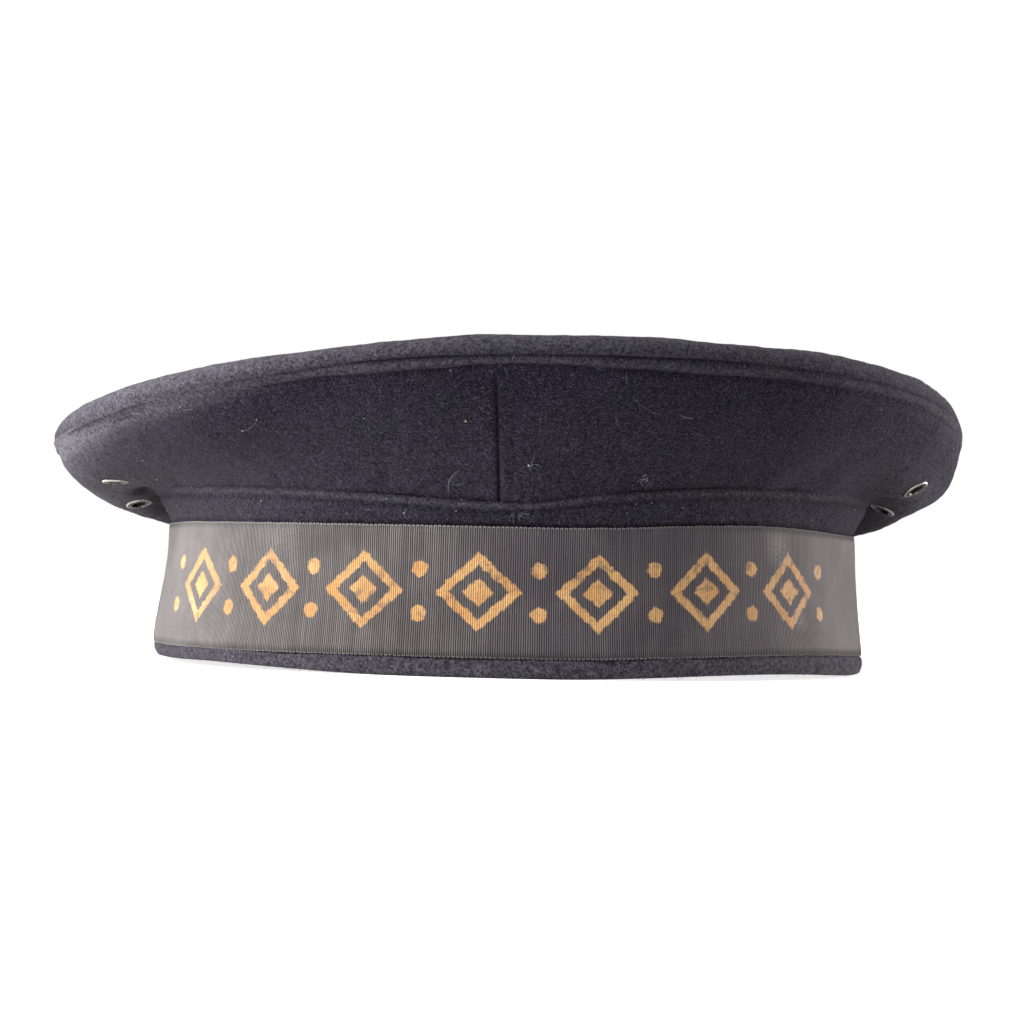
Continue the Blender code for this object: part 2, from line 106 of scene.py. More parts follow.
# angle, seam_height, seam_slope, seam_pull, rim_slope, rim_pull, ridge_width
SECTIONS = np.array((
    (0, 42.6, 58, 12, 54, 11, 2.2),
    (14, 45.2, 55, 12, 55, 11.4, 3.6),
    (35, 47.4, 50, 12, 56, 12, 3.7),
    (58, 47.2, 25, 14, 66, 15, 2.9),
    (76, 46.6, -6, 14.1, 77.2, 18.6, 3.0),
    (90, 46.5, -8.7, 11, 84.2, 20.6, 3.3),
    (104, 45.4, -37.5, 16.7, 76.5, 12.1, 3.3),
    (122, 44.5, -53.4, 21.2, 73.8, 13.1, 3.3),
    (150, 44.0, -48, 18, 66, 9, 3.3),
    (180, 43.5, -46, 16, 62, 9, 3.3),
    (210, 43.5, -48, 17, 66, 9, 3.3),
    (238, 44.0, -54.6, 20.6, 72.1, 12.7, 3.3),
    (256, 44.5, -49.2, 15.9, 67, 11.4, 3.3),
    (270, 45.2, -31.8, 10.3, 81.9, 12.6, 3.3),
    (284, 45.5, -4.6, 12.3, 83.4, 12.4, 3.3),
    (302, 45.6, 25, 13, 62, 13, 2.8),
    (325, 45.2, 48, 12, 56, 12, 3.5),
    (342, 43.9, 53, 12, 55, 11.5, 3.5),
), float)
# angle, distance up the panel (0 to 1), angle_reach, along_reach, height (minus is inward)
DENTS = (
    (79, 0.10, 5.0, 0.10, -1.6),
    (92, 0.30, 8.0, 0.20, 1.0),
    (281, 0.10, 5.0, 0.10, -1.6),
    (268, 0.30, 8.0, 0.20, 1.0),
    (40, 0.62, 16.0, 0.28, 0.8),
    (322, 0.62, 16.0, 0.28, 0.8),
    (205, 0.45, 14.0, 0.30, 0.8),
)
# node, angle, distance up the panel
EYELETS = (
    ("vent_eyelet_right_lower", 93.5, 0.18),
    ("vent_eyelet_right_upper", 73.2, 0.444),
    ("vent_eyelet_left_lower", 267.4, 0.233),
    ("vent_eyelet_left_upper", 287.3, 0.387),
)

# How far each vent's face is turned back from the smooth cloth (degrees): about the X axis,
# then about the Y axis.
VENT_LEANS = {
    "vent_eyelet_right_lower": (4.0, -7.0),
    "vent_eyelet_right_upper": (-1.0, 3.5),
    "vent_eyelet_left_lower": (8.0, -3.5),
    "vent_eyelet_left_upper": (-5.0, 8.0),
}

# ---------------------------------------------------------------- detail sizes (mm)
SIDE_STEP = 0.66              # spacing of points round the crown
TOP_COLUMNS = 600
BAND_COLUMNS = 640
RIDGE_HEIGHT = 0.55
BAND_RIDGE_WIDTH = 2.5
SEAM_TOUCH = 0.04             # gap left between two pieces of cloth sewn together
SEAM_SINK = 0.36              # how deep a sewn edge turns in at the rim
BAND_SEAM_SINK = 0.07         # and at the pressed seam over the band
SEAM_LEAN = -0.48             # degrees the front seam leans by the time it reaches the rim
STITCH_SINK = 0.34            # how deep a row of stitches pulls the cloth in
STITCH_LENGTH = 2.8
STITCH_THICKNESS = 0.34
RIB_PITCH = 0.55
RIB_HEIGHT = 0.13
LOOP_REACH = 0.36             # how far the edge loops stand out of the ribbon's edge
RIBBON_CLOTH = 0.45           # thickness of the ribbon that shows
LAP_LIFT = 0.6                # how far the lapped end stands over the covered one


# ---------------------------------------------------------------- numbers
def smooth(x):
    x = np.clip(x, 0.0, 1.0)
    return x * x * (3 - 2 * x)


def hump(x, width):
    return np.exp(-(x / width) ** 2)


def fade(away):
    """A soft fall from 1 at 0 to 0 at 1 and beyond."""
    return np.cos(pi / 2 * np.clip(away, 0, 1)) ** 2


def off_from(turn, at):
    """Degrees round the cap from a place in a table, between -180 and 180."""
    return (np.degrees(turn) - at + 180) % 360 - 180


def bumps(table, turn, up):
    """Soft round bumps: rows of angle, place up, their two reaches, height."""
    total = 0.0
    for at, middle, reach, up_reach, height in table:
        total = total + height * hump(off_from(turn, at), reach) * hump(up - middle, up_reach)
    return total


RIPPLE_WAVES = 26
OVAL_STEPS = 4001
CURVE_STEPS = 161


def ripples(points, wavelength, seed):
    """Smooth random relief at points (…, 3) in mm, mostly between -1 and 1."""
    rng = np.random.default_rng(seed)
    ways = unit(rng.normal(size=(RIPPLE_WAVES, 3)))
    rates = 2 * pi / (wavelength * rng.uniform(0.72, 1.4, RIPPLE_WAVES))
    shifts = rng.uniform(0, 2 * pi, RIPPLE_WAVES)
    total = sum(np.sin(points @ (way * rate) + shift)
                for way, rate, shift in zip(ways, rates, shifts))
    return total * sqrt(1.2 / RIPPLE_WAVES)


def uneven(points, layers):
    """Unevenness of cloth: rows of height (mm), wavelength (mm), seed."""
    return sum(height * ripples(points, wavelength, seed) for height, wavelength, seed in layers)


def oval(half_width, half_depth, turn):
    return 1.0 / np.sqrt((np.sin(turn) / half_width) ** 2 + (np.cos(turn) / half_depth) ** 2)


def band_oval(half_width, half_depth, turn):
    """Distance out to an oval of the band, which sits a little to the +X side."""
    return oval(half_width, half_depth, turn) + BAND_SHIFT * np.sin(turn)


def waves(terms, turn, reach=1.0):
    return sum(reach ** order * (front * np.cos(order * turn) + side * np.sin(order * turn))
               for order, front, side in terms)


def all_round(count):
    return np.linspace(0, 2 * pi, count, endpoint=False)


def section_values(turn):
    """The columns of SECTIONS after the angle, at any angles, joined smoothly."""
    angle = np.degrees(turn) % 360
    row = np.searchsorted(SECTIONS[:, 0], angle, side="right") - 1
    laps, index = np.divmod(row + np.array([[-1], [0], [1], [2]]), len(SECTIONS))
    places = SECTIONS[index, 0] + 360 * laps
    values = np.moveaxis(SECTIONS[index, 1:], 2, 1)
    span = places[2] - places[1]
    u = (angle - places[1]) / span
    start = (values[2] - values[0]) / (places[2] - places[0]) * span
    end = (values[3] - values[1]) / (places[3] - places[1]) * span
    return ((2 * u ** 3 - 3 * u ** 2 + 1) * values[1] + (u ** 3 - 2 * u ** 2 + u) * start
            + (3 * u ** 2 - 2 * u ** 3) * values[2] + (u ** 3 - u ** 2) * end)


def bezier(controls, u):
    """Points and directions (2, columns, rows) on one cubic for each column."""
    a, b, c, d = controls
    v = 1.0 - u
    points = v ** 3 * a + 3 * v * v * u * b + 3 * v * u * u * c + u ** 3 * d
    ways = v * v * (b - a) + 2 * v * u * (c - b) + u * u * (d - c)
    return points, ways / np.hypot(ways[0], ways[1])


def pair(out, up):
    return np.stack([out, up])[:, :, None]


def measure(controls):
    """Shares along the cubics, and the distance each has come there."""
    shares = np.linspace(0, 1, CURVE_STEPS)
    points, _ = bezier(controls, shares[None, :])
    steps = np.hypot(*np.diff(points, axis=2))
    return shares, np.concatenate([np.zeros((len(steps), 1)), np.cumsum(steps, axis=1)], axis=1)


def curve_length(controls):
    return measure(controls)[1][:, -1:]


def even_steps(controls, distances):
    """Shares along each cubic that lie at these distances (columns, rows) from its start."""
    shares, reached = measure(controls)
    return np.array([np.interp(row, line, shares) for row, line in zip(distances, reached)])


def raised(line, ways, lift):
    """Points (2, columns, rows) of a curve moved out, square to it."""
    return np.stack([line[0] + ways[1] * lift, line[1] - ways[0] * lift])


def place(turn, out, up):
    """(columns, rows, 3) points in metres from distances out and heights in mm."""
    turn = np.broadcast_to(turn, out.shape)
    return np.stack([out * np.sin(turn), -out * np.cos(turn), up], axis=-1) * MM


def angles_at(half_width, half_depth, arcs, start, stop):
    """Angles at shares of the way (0 to 1) round an oval from start to stop (degrees)."""
    fine = np.radians(np.linspace(start, stop, OVAL_STEPS))
    out = oval(half_width, half_depth, fine)
    line = np.stack([out * np.sin(fine), out * np.cos(fine)])
    reached = np.concatenate([[0], np.cumsum(np.hypot(*np.diff(line)))])
    return np.interp(np.asarray(arcs) * reached[-1], reached, fine), reached[-1]


def unit(vectors):
    return vectors / np.linalg.norm(vectors, axis=-1, keepdims=True)


def spokes(side, across, count):
    """Directions evenly round a circle."""
    for index in range(count):
        angle = 2 * pi * index / count
        yield side * cos(angle) + across * sin(angle)


# ---------------------------------------------------------------- meshes
def link(name, data):
    made = bpy.data.objects.new(name, data)
    bpy.context.scene.collection.objects.link(made)
    return made


def new_mesh(name, points, faces, surface, smooth_faces=True):
    mesh = bpy.data.meshes.new(name)
    mesh.from_pydata(np.asarray(points).reshape(-1, 3).tolist(), [], faces)
    mesh.update()
    mesh.polygons.foreach_set("use_smooth", [smooth_faces] * len(mesh.polygons))
    if surface:
        mesh.materials.append(surface)
    return link(name, mesh)


def face_outward(mesh):
    work = bmesh.new()
    work.from_mesh(mesh)
    bmesh.ops.recalc_face_normals(work, faces=work.faces)
    work.to_mesh(mesh)
    work.free()


def grid_quads(columns, rows, round_columns=True, round_rows=True):
    """Faces of a grid whose points run down each column in turn."""
    i = np.arange(columns if round_columns else columns - 1)[:, None]
    j = np.arange(rows if round_rows else rows - 1)[None, :]
    here = (i % columns) * rows
    there = ((i + 1) % columns) * rows
    nxt = (j + 1) % rows
    quads = np.stack([here + j, there + j, there + nxt, here + nxt], axis=-1)
    return quads.reshape(-1, 4).tolist()


def bar_faces(columns, rows):
    """Faces of a closed section drawn out along columns, with both its ends."""
    last = (columns - 1) * rows
    ends = [list(range(rows)), [last + index for index in reversed(range(rows))]]
    return grid_quads(columns, rows, False) + ends


def keep(made, name, values, kind="FLOAT", field="value"):
    """Store one number or vector for each point, for the material to read."""
    made.data.attributes.new(name, kind, "POINT")
    made.data.attributes[name].data.foreach_set(field, np.asarray(values, np.float32).ravel())


def keep_rows(made, name, rows, *blocks, extra=0):
    """Store blocks of rows, with 0 on the rows and single points after them."""
    values = np.concatenate(blocks, axis=1)
    values = np.pad(values, ((0, 0), (0, rows - values.shape[1])))
    keep(made, name, np.append(values, np.zeros(extra)))


def dress(made, slot, *nodes):
    """Tie a piece to the cap's one body and hide the solids it stands for; slot is not used."""
    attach(made, "root")
    if nodes:
        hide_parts(*nodes)
    return made


# ---------------------------------------------------------------- shader helpers
def add(tree, kind, inputs=None, output=0, **settings):
    """A new node: its output as a Value that arithmetic can go on from."""
    node = tree.nodes.new(kind)
    for key, value in settings.items():
        setattr(node, key, value)
    for key, value in (inputs or {}).items():
        join(tree, value, node.inputs[key])
    return Value(tree, node.outputs[output]) if node.outputs else None


def join(tree, value, socket):
    if isinstance(value, Value):
        tree.links.new(value.socket, socket)
    else:
        socket.default_value = value


class Value:
    """A number, place or colour that a node tree works out."""

    def __init__(self, tree, socket):
        self.tree = tree
        self.socket = socket

    def calc(self, operation, other=0.0):
        return add(self.tree, "ShaderNodeMath", {0: self, 1: other}, operation=operation)

    def __add__(self, other):
        return self.calc("ADD", other)

    def __sub__(self, other):
        return self.calc("SUBTRACT", other)

    def __rsub__(self, other):
        return add(self.tree, "ShaderNodeMath", {0: other, 1: self}, operation="SUBTRACT")

    def __mul__(self, other):
        return self.calc("MULTIPLY", other)

    def __truediv__(self, other):
        return self.calc("DIVIDE", other)

    def __abs__(self):
        return self.calc("ABSOLUTE")

    def ramp(self, low, high, start=0.0, end=1.0):
        """Carried smoothly from low…high to start…end."""
        return add(self.tree, "ShaderNodeMapRange",
                   {"Value": self, "From Min": low, "From Max": high, "To Min": start,
                    "To Max": end}, interpolation_type="SMOOTHSTEP")

    def mix(self, *colours):
        """The first colour where this share is 0, the second where it is 1."""
        ends = [value if isinstance(value, Value) else (*value, 1.0) for value in colours]
        return add(self.tree, "ShaderNodeMix", {0: self, 6: ends[0], 7: ends[1]}, output=2,
                   data_type="RGBA")

    def noise(self, scale, detail=2.0, rough=0.5, output=0):
        return add(self.tree, "ShaderNodeTexNoise",
                   {"Vector": self, "Scale": scale, "Detail": detail, "Roughness": rough}, output)

    def moved(self, operation, inputs=None, output=0):
        return add(self.tree, "ShaderNodeVectorMath", {0: self, **(inputs or {})}, output,
                   operation=operation)

    def parts(self):
        split = add(self.tree, "ShaderNodeSeparateXYZ", {0: self}).socket.node
        return [Value(self.tree, socket) for socket in split.outputs]


def size_of(a, b):
    return (a * a + b * b).calc("SQRT")


class Look:
    """A material in the making: its tree, its shader's inputs and the place on the piece."""

    def __init__(self, name, roughness, metallic=0.0, specular=0.5):
        self.made = bpy.data.materials.new(name)
        self.made.use_nodes = True
        self.tree = self.made.node_tree
        self.inputs = self.tree.nodes["Principled BSDF"].inputs
        self.set("Roughness", roughness)
        self.set("Metallic", metallic)
        self.set("Specular IOR Level", specular)
        self.where = add(self.tree, "ShaderNodeTexCoord", output="Object")

    def set(self, name, value):
        join(self.tree, value, self.inputs[name])

    def stored(self, name, output="Fac"):
        return add(self.tree, "ShaderNodeAttribute", None, output, attribute_name=name,
                   attribute_type="GEOMETRY")

    def relief(self, height, distance, strength):
        self.set("Normal", add(self.tree, "ShaderNodeBump",
                               {"Height": height, "Distance": distance, "Strength": strength}))

    def sheen(self, weight, roughness, tint):
        self.set("Sheen Weight", weight)
        self.set("Sheen Roughness", roughness)
        self.set("Sheen Tint", (*tint, 1.0))


# ---------------------------------------------------------------- materials
HAIR_WAYS = ((0.3, 0.2, 0.1), (1.1, 0.5, 1.3), (0.4, 1.2, 2.2), (2.0, 0.9, 0.6), (1.6, 2.3, 1.9))
HAIR_SIZE = (0.0012, 0.00026, 0.00026)
HAIR_SHIFT = (0.013, 0.007, 0.003)
NAVY_PIT = (0.0040, 0.0032, 0.0080)
# Painted shade for seams, stitches, puckers and corners.
NAVY_PAINTED_SHADE = (0.0022, 0.0019, 0.0034)
NAVY_HAIR = (0.112, 0.104, 0.142)
# Pale of wear, also laid on as painted light over lit sides and grazing edges.
NAVY_WORN_AND_LIT = (0.250, 0.240, 0.274)


def hairs(where):
    """Felted hairs: streaks that lie in five directions, the topmost one showing."""
    top = None
    for index, way in enumerate(HAIR_WAYS):
        turned = add(where.tree, "ShaderNodeMapping",
                     {"Vector": where, "Rotation": way, "Scale": HAIR_SIZE,
                      "Location": [step * index for step in HAIR_SHIFT]}, vector_type="TEXTURE")
        streak = turned.noise(1.0, 0.5)
        top = top.calc("MAXIMUM", streak) if top else streak
    return top.ramp(0.60, 0.80)


def wool_material():
    """Felted navy cloth: paler where it is worn and where light is painted in, with painted shade
    in its creases.
    """
    look = Look("navy_melton", 0.95, specular=0.06)
    hair = hairs(look.where)
    grain = look.where.noise(1500.0, 2.5, 0.65)
    pits = look.where.noise(760.0)
    fading = look.where.noise(42.0, 3.0, 0.55)
    warm = look.where.noise(70.0)
    cool = look.where.noise(55.0)
    cloth = fading.ramp(0.35, 0.68).mix((0.0160, 0.0136, 0.0305), (0.0240, 0.0212, 0.0425))
    cloth = warm.ramp(0.52, 0.72, 0.0, 0.55).mix(cloth, (0.0340, 0.0190, 0.0310))
    cloth = cool.ramp(0.56, 0.74, 0.0, 0.5).mix(cloth, (0.0160, 0.0190, 0.0250))
    cloth = grain.ramp(0.38, 0.60, 0.88, 0.0).mix(cloth, NAVY_PIT)
    cloth = pits.ramp(0.30, 0.48, 0.5, 0.0).mix(cloth, NAVY_PIT)
    cloth = hair.ramp(0.2, 1.0, 0.0, 0.85).mix(cloth, NAVY_HAIR)
    mottle = grain.ramp(0.34, 0.64, 0.28, 1.0) * pits.ramp(0.34, 0.60, 0.55, 1.0)
    # Wear together with painted light: paled where rubbed, and where light from the left and sheen
    # are painted in.
    cloth = (look.stored("wear_and_painted_light") * mottle * 0.55).mix(cloth, NAVY_WORN_AND_LIT)
    # Painted shade in seams, stitches, puckers and corners.
    look.set("Base Color", look.stored("painted_shade").mix(cloth, NAVY_PAINTED_SHADE))
    look.relief(hair + grain * 1.2, 0.00028, 0.8)
    look.sheen(0.11, 0.40, (0.92, 0.88, 0.95))
    return look.made


def nap_material():
    """Loose hairs of the same cloth, each with its own shade."""
    look = Look("navy_nap", 0.85, specular=0.1)
    shade = look.stored("shade")
    cloth = shade.ramp(0.0, 0.9).mix((0.0080, 0.0070, 0.0140), (0.074, 0.070, 0.088))
    look.set("Base Color", shade.ramp(0.93, 1.0).mix(cloth, (0.24, 0.24, 0.28)))
    look.sheen(0.2, 0.5, (0.92, 0.88, 0.92))
    return look.made


def lint_material():
    look = Look("pale_lint", 0.7, specular=0.3)
    shade = look.stored("shade")
    cloth = shade.ramp(0.0, 0.8).mix((0.10, 0.10, 0.13), (0.55, 0.56, 0.60))
    look.set("Base Color", shade.ramp(0.9, 1.0).mix(cloth, (0.85, 0.70, 0.42)))
    return look.made


def thread_material():
    look = Look("navy_thread", 0.7, specular=0.2)
    twist = look.where.noise(2600.0, 1.0)
    look.set("Base Color", twist.mix((0.007, 0.006, 0.012), (0.026, 0.024, 0.038)))
    look.relief(twist, 0.0001, 0.6)
    look.sheen(0.2, 0.4, (0.9, 0.88, 0.92))
    return look.made


# A plain row of painted lozenges and dots, in mm on the ribbon.
ORNAMENT_PITCH = 29.0
ORNAMENT_FIRST = -111.4
ORNAMENT_LAST = 97.4
ORNAMENT_CENTRE = -7.0
LOZENGE_HALF_WIDTH = 10.5
LOZENGE_HALF_HEIGHT = 9.6
DOT_HEIGHT = 5.4
DOT_RADIUS = 1.9
DOT_EDGE = 0.3
ROW_EDGE = 0.2


def ornament(along, up):
    """1 inside the painted row, 0 outside: an open lozenge round a small one, dots between."""
    shifted = (along - ORNAMENT_CENTRE) / ORNAMENT_PITCH
    across = abs((shifted - shifted.calc("ROUND")) * ORNAMENT_PITCH)
    height = abs(up)
    reach = across / LOZENGE_HALF_WIDTH + height / LOZENGE_HALF_HEIGHT
    ring = reach.ramp(0.96, 1.04, 1.0, 0.0) * reach.ramp(0.66, 0.73)
    core = reach.ramp(0.32, 0.40, 1.0, 0.0)
    far = size_of(across - ORNAMENT_PITCH / 2, height - DOT_HEIGHT)
    dot = far.ramp(DOT_RADIUS - DOT_EDGE, DOT_RADIUS + DOT_EDGE, 1.0, 0.0)
    shape = ring.calc("MAXIMUM", core).calc("MAXIMUM", dot)
    first = along.ramp(ORNAMENT_FIRST - ROW_EDGE, ORNAMENT_FIRST + ROW_EDGE)
    last = along.ramp(ORNAMENT_LAST - ROW_EDGE, ORNAMENT_LAST + ROW_EDGE, 1.0, 0.0)
    return shape * (first * last)


def brushed_spot(spot):
    """Places on the ribbon, shaken a little so that painted edges come out uneven."""
    centred = spot.noise(0.7, 3.0, 0.6, "Color").moved("SUBTRACT", {1: (0.5, 0.5, 0.5)})
    along, up, _ = spot.moved("ADD", {1: centred.moved("SCALE", {3: 2.0})}).parts()
    return along, up


# place along and up the ribbon, reach (mm) and share of pale dust rubbed into the ribs
DUST_PATCHES = ((76.0, 11.0, 7.5, 0.80), (84.0, -7.0, 4.5, 0.55), (-62.0, 12.0, 14.0, 0.35))


def rubbed_dust(along, up):
    """Share of dust at a place on the ribbon."""
    first, *others = [size_of(along - middle, up - height).ramp(0.0, reach, most, 0.0)
                      for middle, height, reach, most in DUST_PATCHES]
    return sum(others, first)


def ribbon_cloth(along, specks, fading, one_rib, from_front):
    """Faded cloth before paint and dust, with stretches of painted shade (places in mm)."""
    cloth = fading.ramp(0.3, 0.7).mix((0.167, 0.148, 0.146), (0.265, 0.241, 0.233))
    unlike = one_rib * from_front.ramp(50.0, 90.0, 0.50, 0.15)
    # Painted shade: a darker, more purple middle, the right side darker round towards the back, and
    # a darker left end.
    shaded_middle = along.ramp(-35.0, 10.0) * along.ramp(60.0, 100.0, 0.5, 0.0)
    shadowed = along.ramp(70.0, 110.0, 0.0, 0.50) * along.ramp(150.0, 230.0, 1.0, 0.0)
    shaded_left_end = along.ramp(-125.0, -95.0, 0.45, 0.0)
    for share, colour in ((unlike, (0.085, 0.073, 0.076)), (shaded_middle, (0.115, 0.096, 0.122)),
                          (shadowed, (0.060, 0.050, 0.046)), (shaded_left_end, (0.085, 0.073, 0.070)),
                          (specks.ramp(0.54, 0.78, 0.0, 0.42), (0.30, 0.28, 0.27))):
        cloth = share.mix(cloth, colour)
    return cloth


def worn_paint(flat, one_rib):
    """Share of the ornament's paint that is left at a place."""
    held = flat.noise(0.42, 4.0, 0.65) + flat.noise(0.05, 1.0).ramp(0.4, 0.65, -0.07, 0.07)
    paint = ornament(*brushed_spot(flat)) * held.ramp(0.30, 0.46, 0.50, 1.0)
    return paint * one_rib.ramp(0.0, 1.0, 0.88, 1.0)


def ribbon_material():
    """Faded ribbed cloth with worn gold paint, rubbed dust, painted shade between the ribs and pale
    loops at its edges, painted lighter towards the left.
    """
    look = Look("faded_grosgrain", 0.66, specular=0.2)
    along, up, turns = look.stored("cloth", "Vector").parts()
    flat = add(look.tree, "ShaderNodeCombineXYZ", {0: along, 1: up})
    gap = abs((turns * pi).calc("SINE")).ramp(0.42, 0.80, 1.0, 0.0)
    one_rib = add(look.tree, "ShaderNodeTexWhiteNoise", {"W": turns.calc("FLOOR")}, "Value",
                  noise_dimensions="1D")
    specks = flat.noise(1.6, 3.0, 0.7)
    from_front = abs(along)
    cloth = ribbon_cloth(along, specks, flat.noise(0.055, 3.0, 0.6), one_rib, from_front)
    paint = worn_paint(flat, one_rib)
    # The gold's own tone varies at random, and is painted brighter towards the right, making up for
    # the light that falls from the left.
    tone_and_light = flat.noise(0.12) + along * 0.0012
    gold = tone_and_light.ramp(0.25, 0.75).mix((0.84, 0.43, 0.15), (1.0, 0.62, 0.27))
    gold = specks.ramp(0.45, 0.72, 0.0, 0.55).mix(gold, (0.46, 0.21, 0.08))
    shown = paint.mix(cloth, gold)
    dust = flat.noise(0.11, 4.0, 0.65)
    shown = dust.ramp(0.60, 0.80, 0.0, 0.24).mix(shown, (0.42, 0.39, 0.37))
    patches = rubbed_dust(along, up) * specks.ramp(0.38, 0.62, 0.3, 1.0)
    shown = patches.mix(shown, (0.42, 0.40, 0.38))
    # Painted shade in the gaps between the ribs, lighter under the paint and eased off towards the
    # sides.
    calm = from_front.ramp(80.0, 115.0, 0.0, 0.6) * from_front.ramp(135.0, 170.0, 1.0, 0.0)
    gap_shade = (0.92 - paint * 0.45) * (1.0 - calm)
    shown = (gap * gap_shade).mix(shown, (0.008, 0.007, 0.009))
    half = (RIBBON_TOP - RIBBON_BOTTOM) / 2
    loops = abs((turns * (pi / 2)).calc("SINE")).ramp(0.25, 0.8)
    loops = abs(up).ramp(half - 0.45, half - 0.1) * loops
    # The loops are pale, and painted lighter towards the left, where the light falls.
    pale = along.ramp(-120.0, 20.0, 0.52, 0.34)
    loop_pale_and_lit = add(look.tree, "ShaderNodeCombineColor", {0: pale, 1: pale, 2: pale})
    look.set("Base Color", (loops * 0.85).mix(shown, loop_pale_and_lit))
    look.relief(specks - gap, 0.00012, 0.5)
    look.sheen(0.26, 0.35, (0.95, 0.93, 0.92))
    return look.made


def metal_material():
    """Blackened metal that has worn bright where it stands proud."""
    look = Look("worn_black_metal", 0.36, metallic=0.8)
    scratch = look.where.noise(1500.0, 3.0, 0.65)
    blotch = look.where.noise(420.0)
    bare = look.stored("wear_and_painted_light") + scratch.ramp(0.3, 0.7, -0.20, 0.20)
    black = blotch.mix((0.030, 0.027, 0.028), (0.070, 0.064, 0.060))
    bright = blotch.mix((0.66, 0.64, 0.58), (0.86, 0.84, 0.78))
    look.set("Base Color", bare.ramp(0.34, 0.66).mix(black, bright))
    look.set("Roughness", scratch.ramp(0.3, 0.7, 0.24, 0.46))
    look.relief(scratch, 0.00005, 0.4)
    return look.made


WOOL = wool_material()
NAP = nap_material()
LINT = lint_material()
THREAD = thread_material()
RIBBON = ribbon_material()
METAL = metal_material()


# ---------------------------------------------------------------- crown sides
RIM_TRAVEL = 119.0            # mm of stitching for each radian, at the rim and at the band
BAND_TRAVEL = 94.0
PUCKERS = 62                  # folds gathered into the band's seam, all the way round
# How strongly the cloth puckers above the band, written as waves.
PUCKER_WAVES = ((0, 0.14, 0.0), (1, -0.10, 0.0), (2, 0.02, 0.0))
# Soft bulges that the weight of the cloth has left beside the vents:
# angle, rise from the band, angle_reach, rise_reach, how far the cloth hangs out there
SAGS = (
    (249, 12.5, 13, 6.0, 0.7),
    (275, 19.0, 10, 4.5, 0.5),
    (110, 12.0, 12, 6.0, 0.6),
    (84, 26.0, 12, 5.0, 0.55),
)
# angle, distance up the panel, angle_reach, along_reach, darkness of the painted shade in a deep
# pucker
HOLLOW_SHADE = (
    (278, 0.17, 4.4, 0.10, 0.9),
    (268, 0.04, 8.0, 0.09, 0.9),
    (255, 0.14, 11.0, 0.13, 0.7),
    (96, 0.07, 9.0, 0.11, 0.75),
)
SIDE_UNEVEN = ((0.30, 46.0, 11), (0.16, 19.0, 12), (0.055, 6.5, 13), (0.045, 2.6, 14))
DARKEST = 0.96
FAR_AWAY = 1000.0
PUCKER_START = 2.0            # mm from the band over which the small folds rise, and die away
PUCKER_FADE = 9.0
NEEDLE_SHARPNESS = 0.35
GROOVE_WIDTH = 0.72
RIM_FILL = 1.3                # most that felt fills up, and how fast that dies away (mm)
RIM_FILL_REACH = 1.5
CORNER_FILL = 1.8
CORNER_FILL_REACH = 1.6
FRONT_GROOVE = 0.80
FRONT_GROOVE_WIDTH = 0.45
FRONT_SWELL_RIGHT = 0.32      # how proud the cloth stands beside the front seam
FRONT_SWELL_LEFT = 0.12
SEAM_LEAN_REACH = 9.0
FLANGE_REACH = 5.2            # how far round its middle a vent flattens the cloth
FLANGE_SINK = 0.12
MOST_LEVELLING = 2.5
LEAST_FACING = 0.4


def seam_line(turn):
    return band_oval(SEAM_HALF_WIDTH, SEAM_HALF_DEPTH, turn), section_values(turn)[0]


def rim_line(turn):
    return oval(RIM_HALF_WIDTH, RIM_HALF_DEPTH, turn), waves(RIM_WAVES, turn)


def side_controls(turn):
    height, leave, leave_pull, reach, reach_pull, _ = section_values(turn)
    out = band_oval(SEAM_HALF_WIDTH, SEAM_HALF_DEPTH, turn)
    rim_out, rim_up = rim_line(turn)
    leave = np.radians(leave)
    reach = np.radians(reach)
    return (pair(out, height),
            pair(out + leave_pull * np.cos(leave), height + leave_pull * np.sin(leave)),
            pair(rim_out - reach_pull * np.cos(reach), rim_up - reach_pull * np.sin(reach)),
            pair(rim_out, rim_up))


def dents(turn, along):
    return bumps(DENTS, turn, along) * np.clip(along * 8, 0, 1) * np.clip((1 - along) * 5, 0, 1)


def puckers(turn, rise):
    """Small folds that run up from the band's seam and die away."""
    strength = np.clip(waves(PUCKER_WAVES, turn), 0.03, 1.0)
    swing = turn * PUCKERS + 1.3 * np.sin(turn * 11 + 0.7) + 0.9 * np.sin(turn * 23)
    return strength * smooth(rise / PUCKER_START) * np.exp(-rise / PUCKER_FADE) * np.sin(swing)


def ridge_width(turns):
    return section_values(turns[:, 0])[5][:, None]


def ridge(away, width):
    """Height of the pressed ridge beside a seam."""
    return RIDGE_HEIGHT * np.sin(pi * np.clip(away / width, 0, 1)) ** 0.8


def needle_holes(distance):
    """Dimples one stitch apart along a row of stitches."""
    return np.exp(-(np.sin(pi * distance / STITCH_LENGTH) / NEEDLE_SHARPNESS) ** 2)


def seam_strength(turn):
    """How sharply the rim's seam and stitches are pressed in: hardly at the far left."""
    side = np.sin(turn)
    return 1.0 - 0.62 * np.clip(side, 0, 1) ** 10 - 0.94 * smooth((-side - 0.2) / 0.62)


def corner_softness(turn):
    """How far the corner between crown and band is filled out, at the two sides."""
    return smooth((np.abs(np.sin(turn)) - 0.70) / 0.2)


def rim_fill(turn, away):
    """Felt that has closed over the rim's seam where it is worn, in mm."""
    where = smooth((-np.sin(turn) - 0.15) / 0.45)
    return RIM_FILL * where * np.exp(-away / RIM_FILL_REACH)


def corner_fill(turn, away):
    """Cloth drawn across the fold between band and crown at the corners, in mm."""
    return CORNER_FILL * corner_softness(turn) * np.exp(-away / CORNER_FILL_REACH)


def front_seam_depth(down, width):
    """How sharply the front seam shows: it fades out under the pressed edge of the rim."""
    return 0.12 + 0.88 * smooth((down - width - 0.5) / 9.0)


def seam_lean(seam_gap, along):
    """Turn (radians) that leans the front seam, dying away a little to each side of it."""
    return radians(SEAM_LEAN) * along * hump(seam_gap, SEAM_LEAN_REACH)


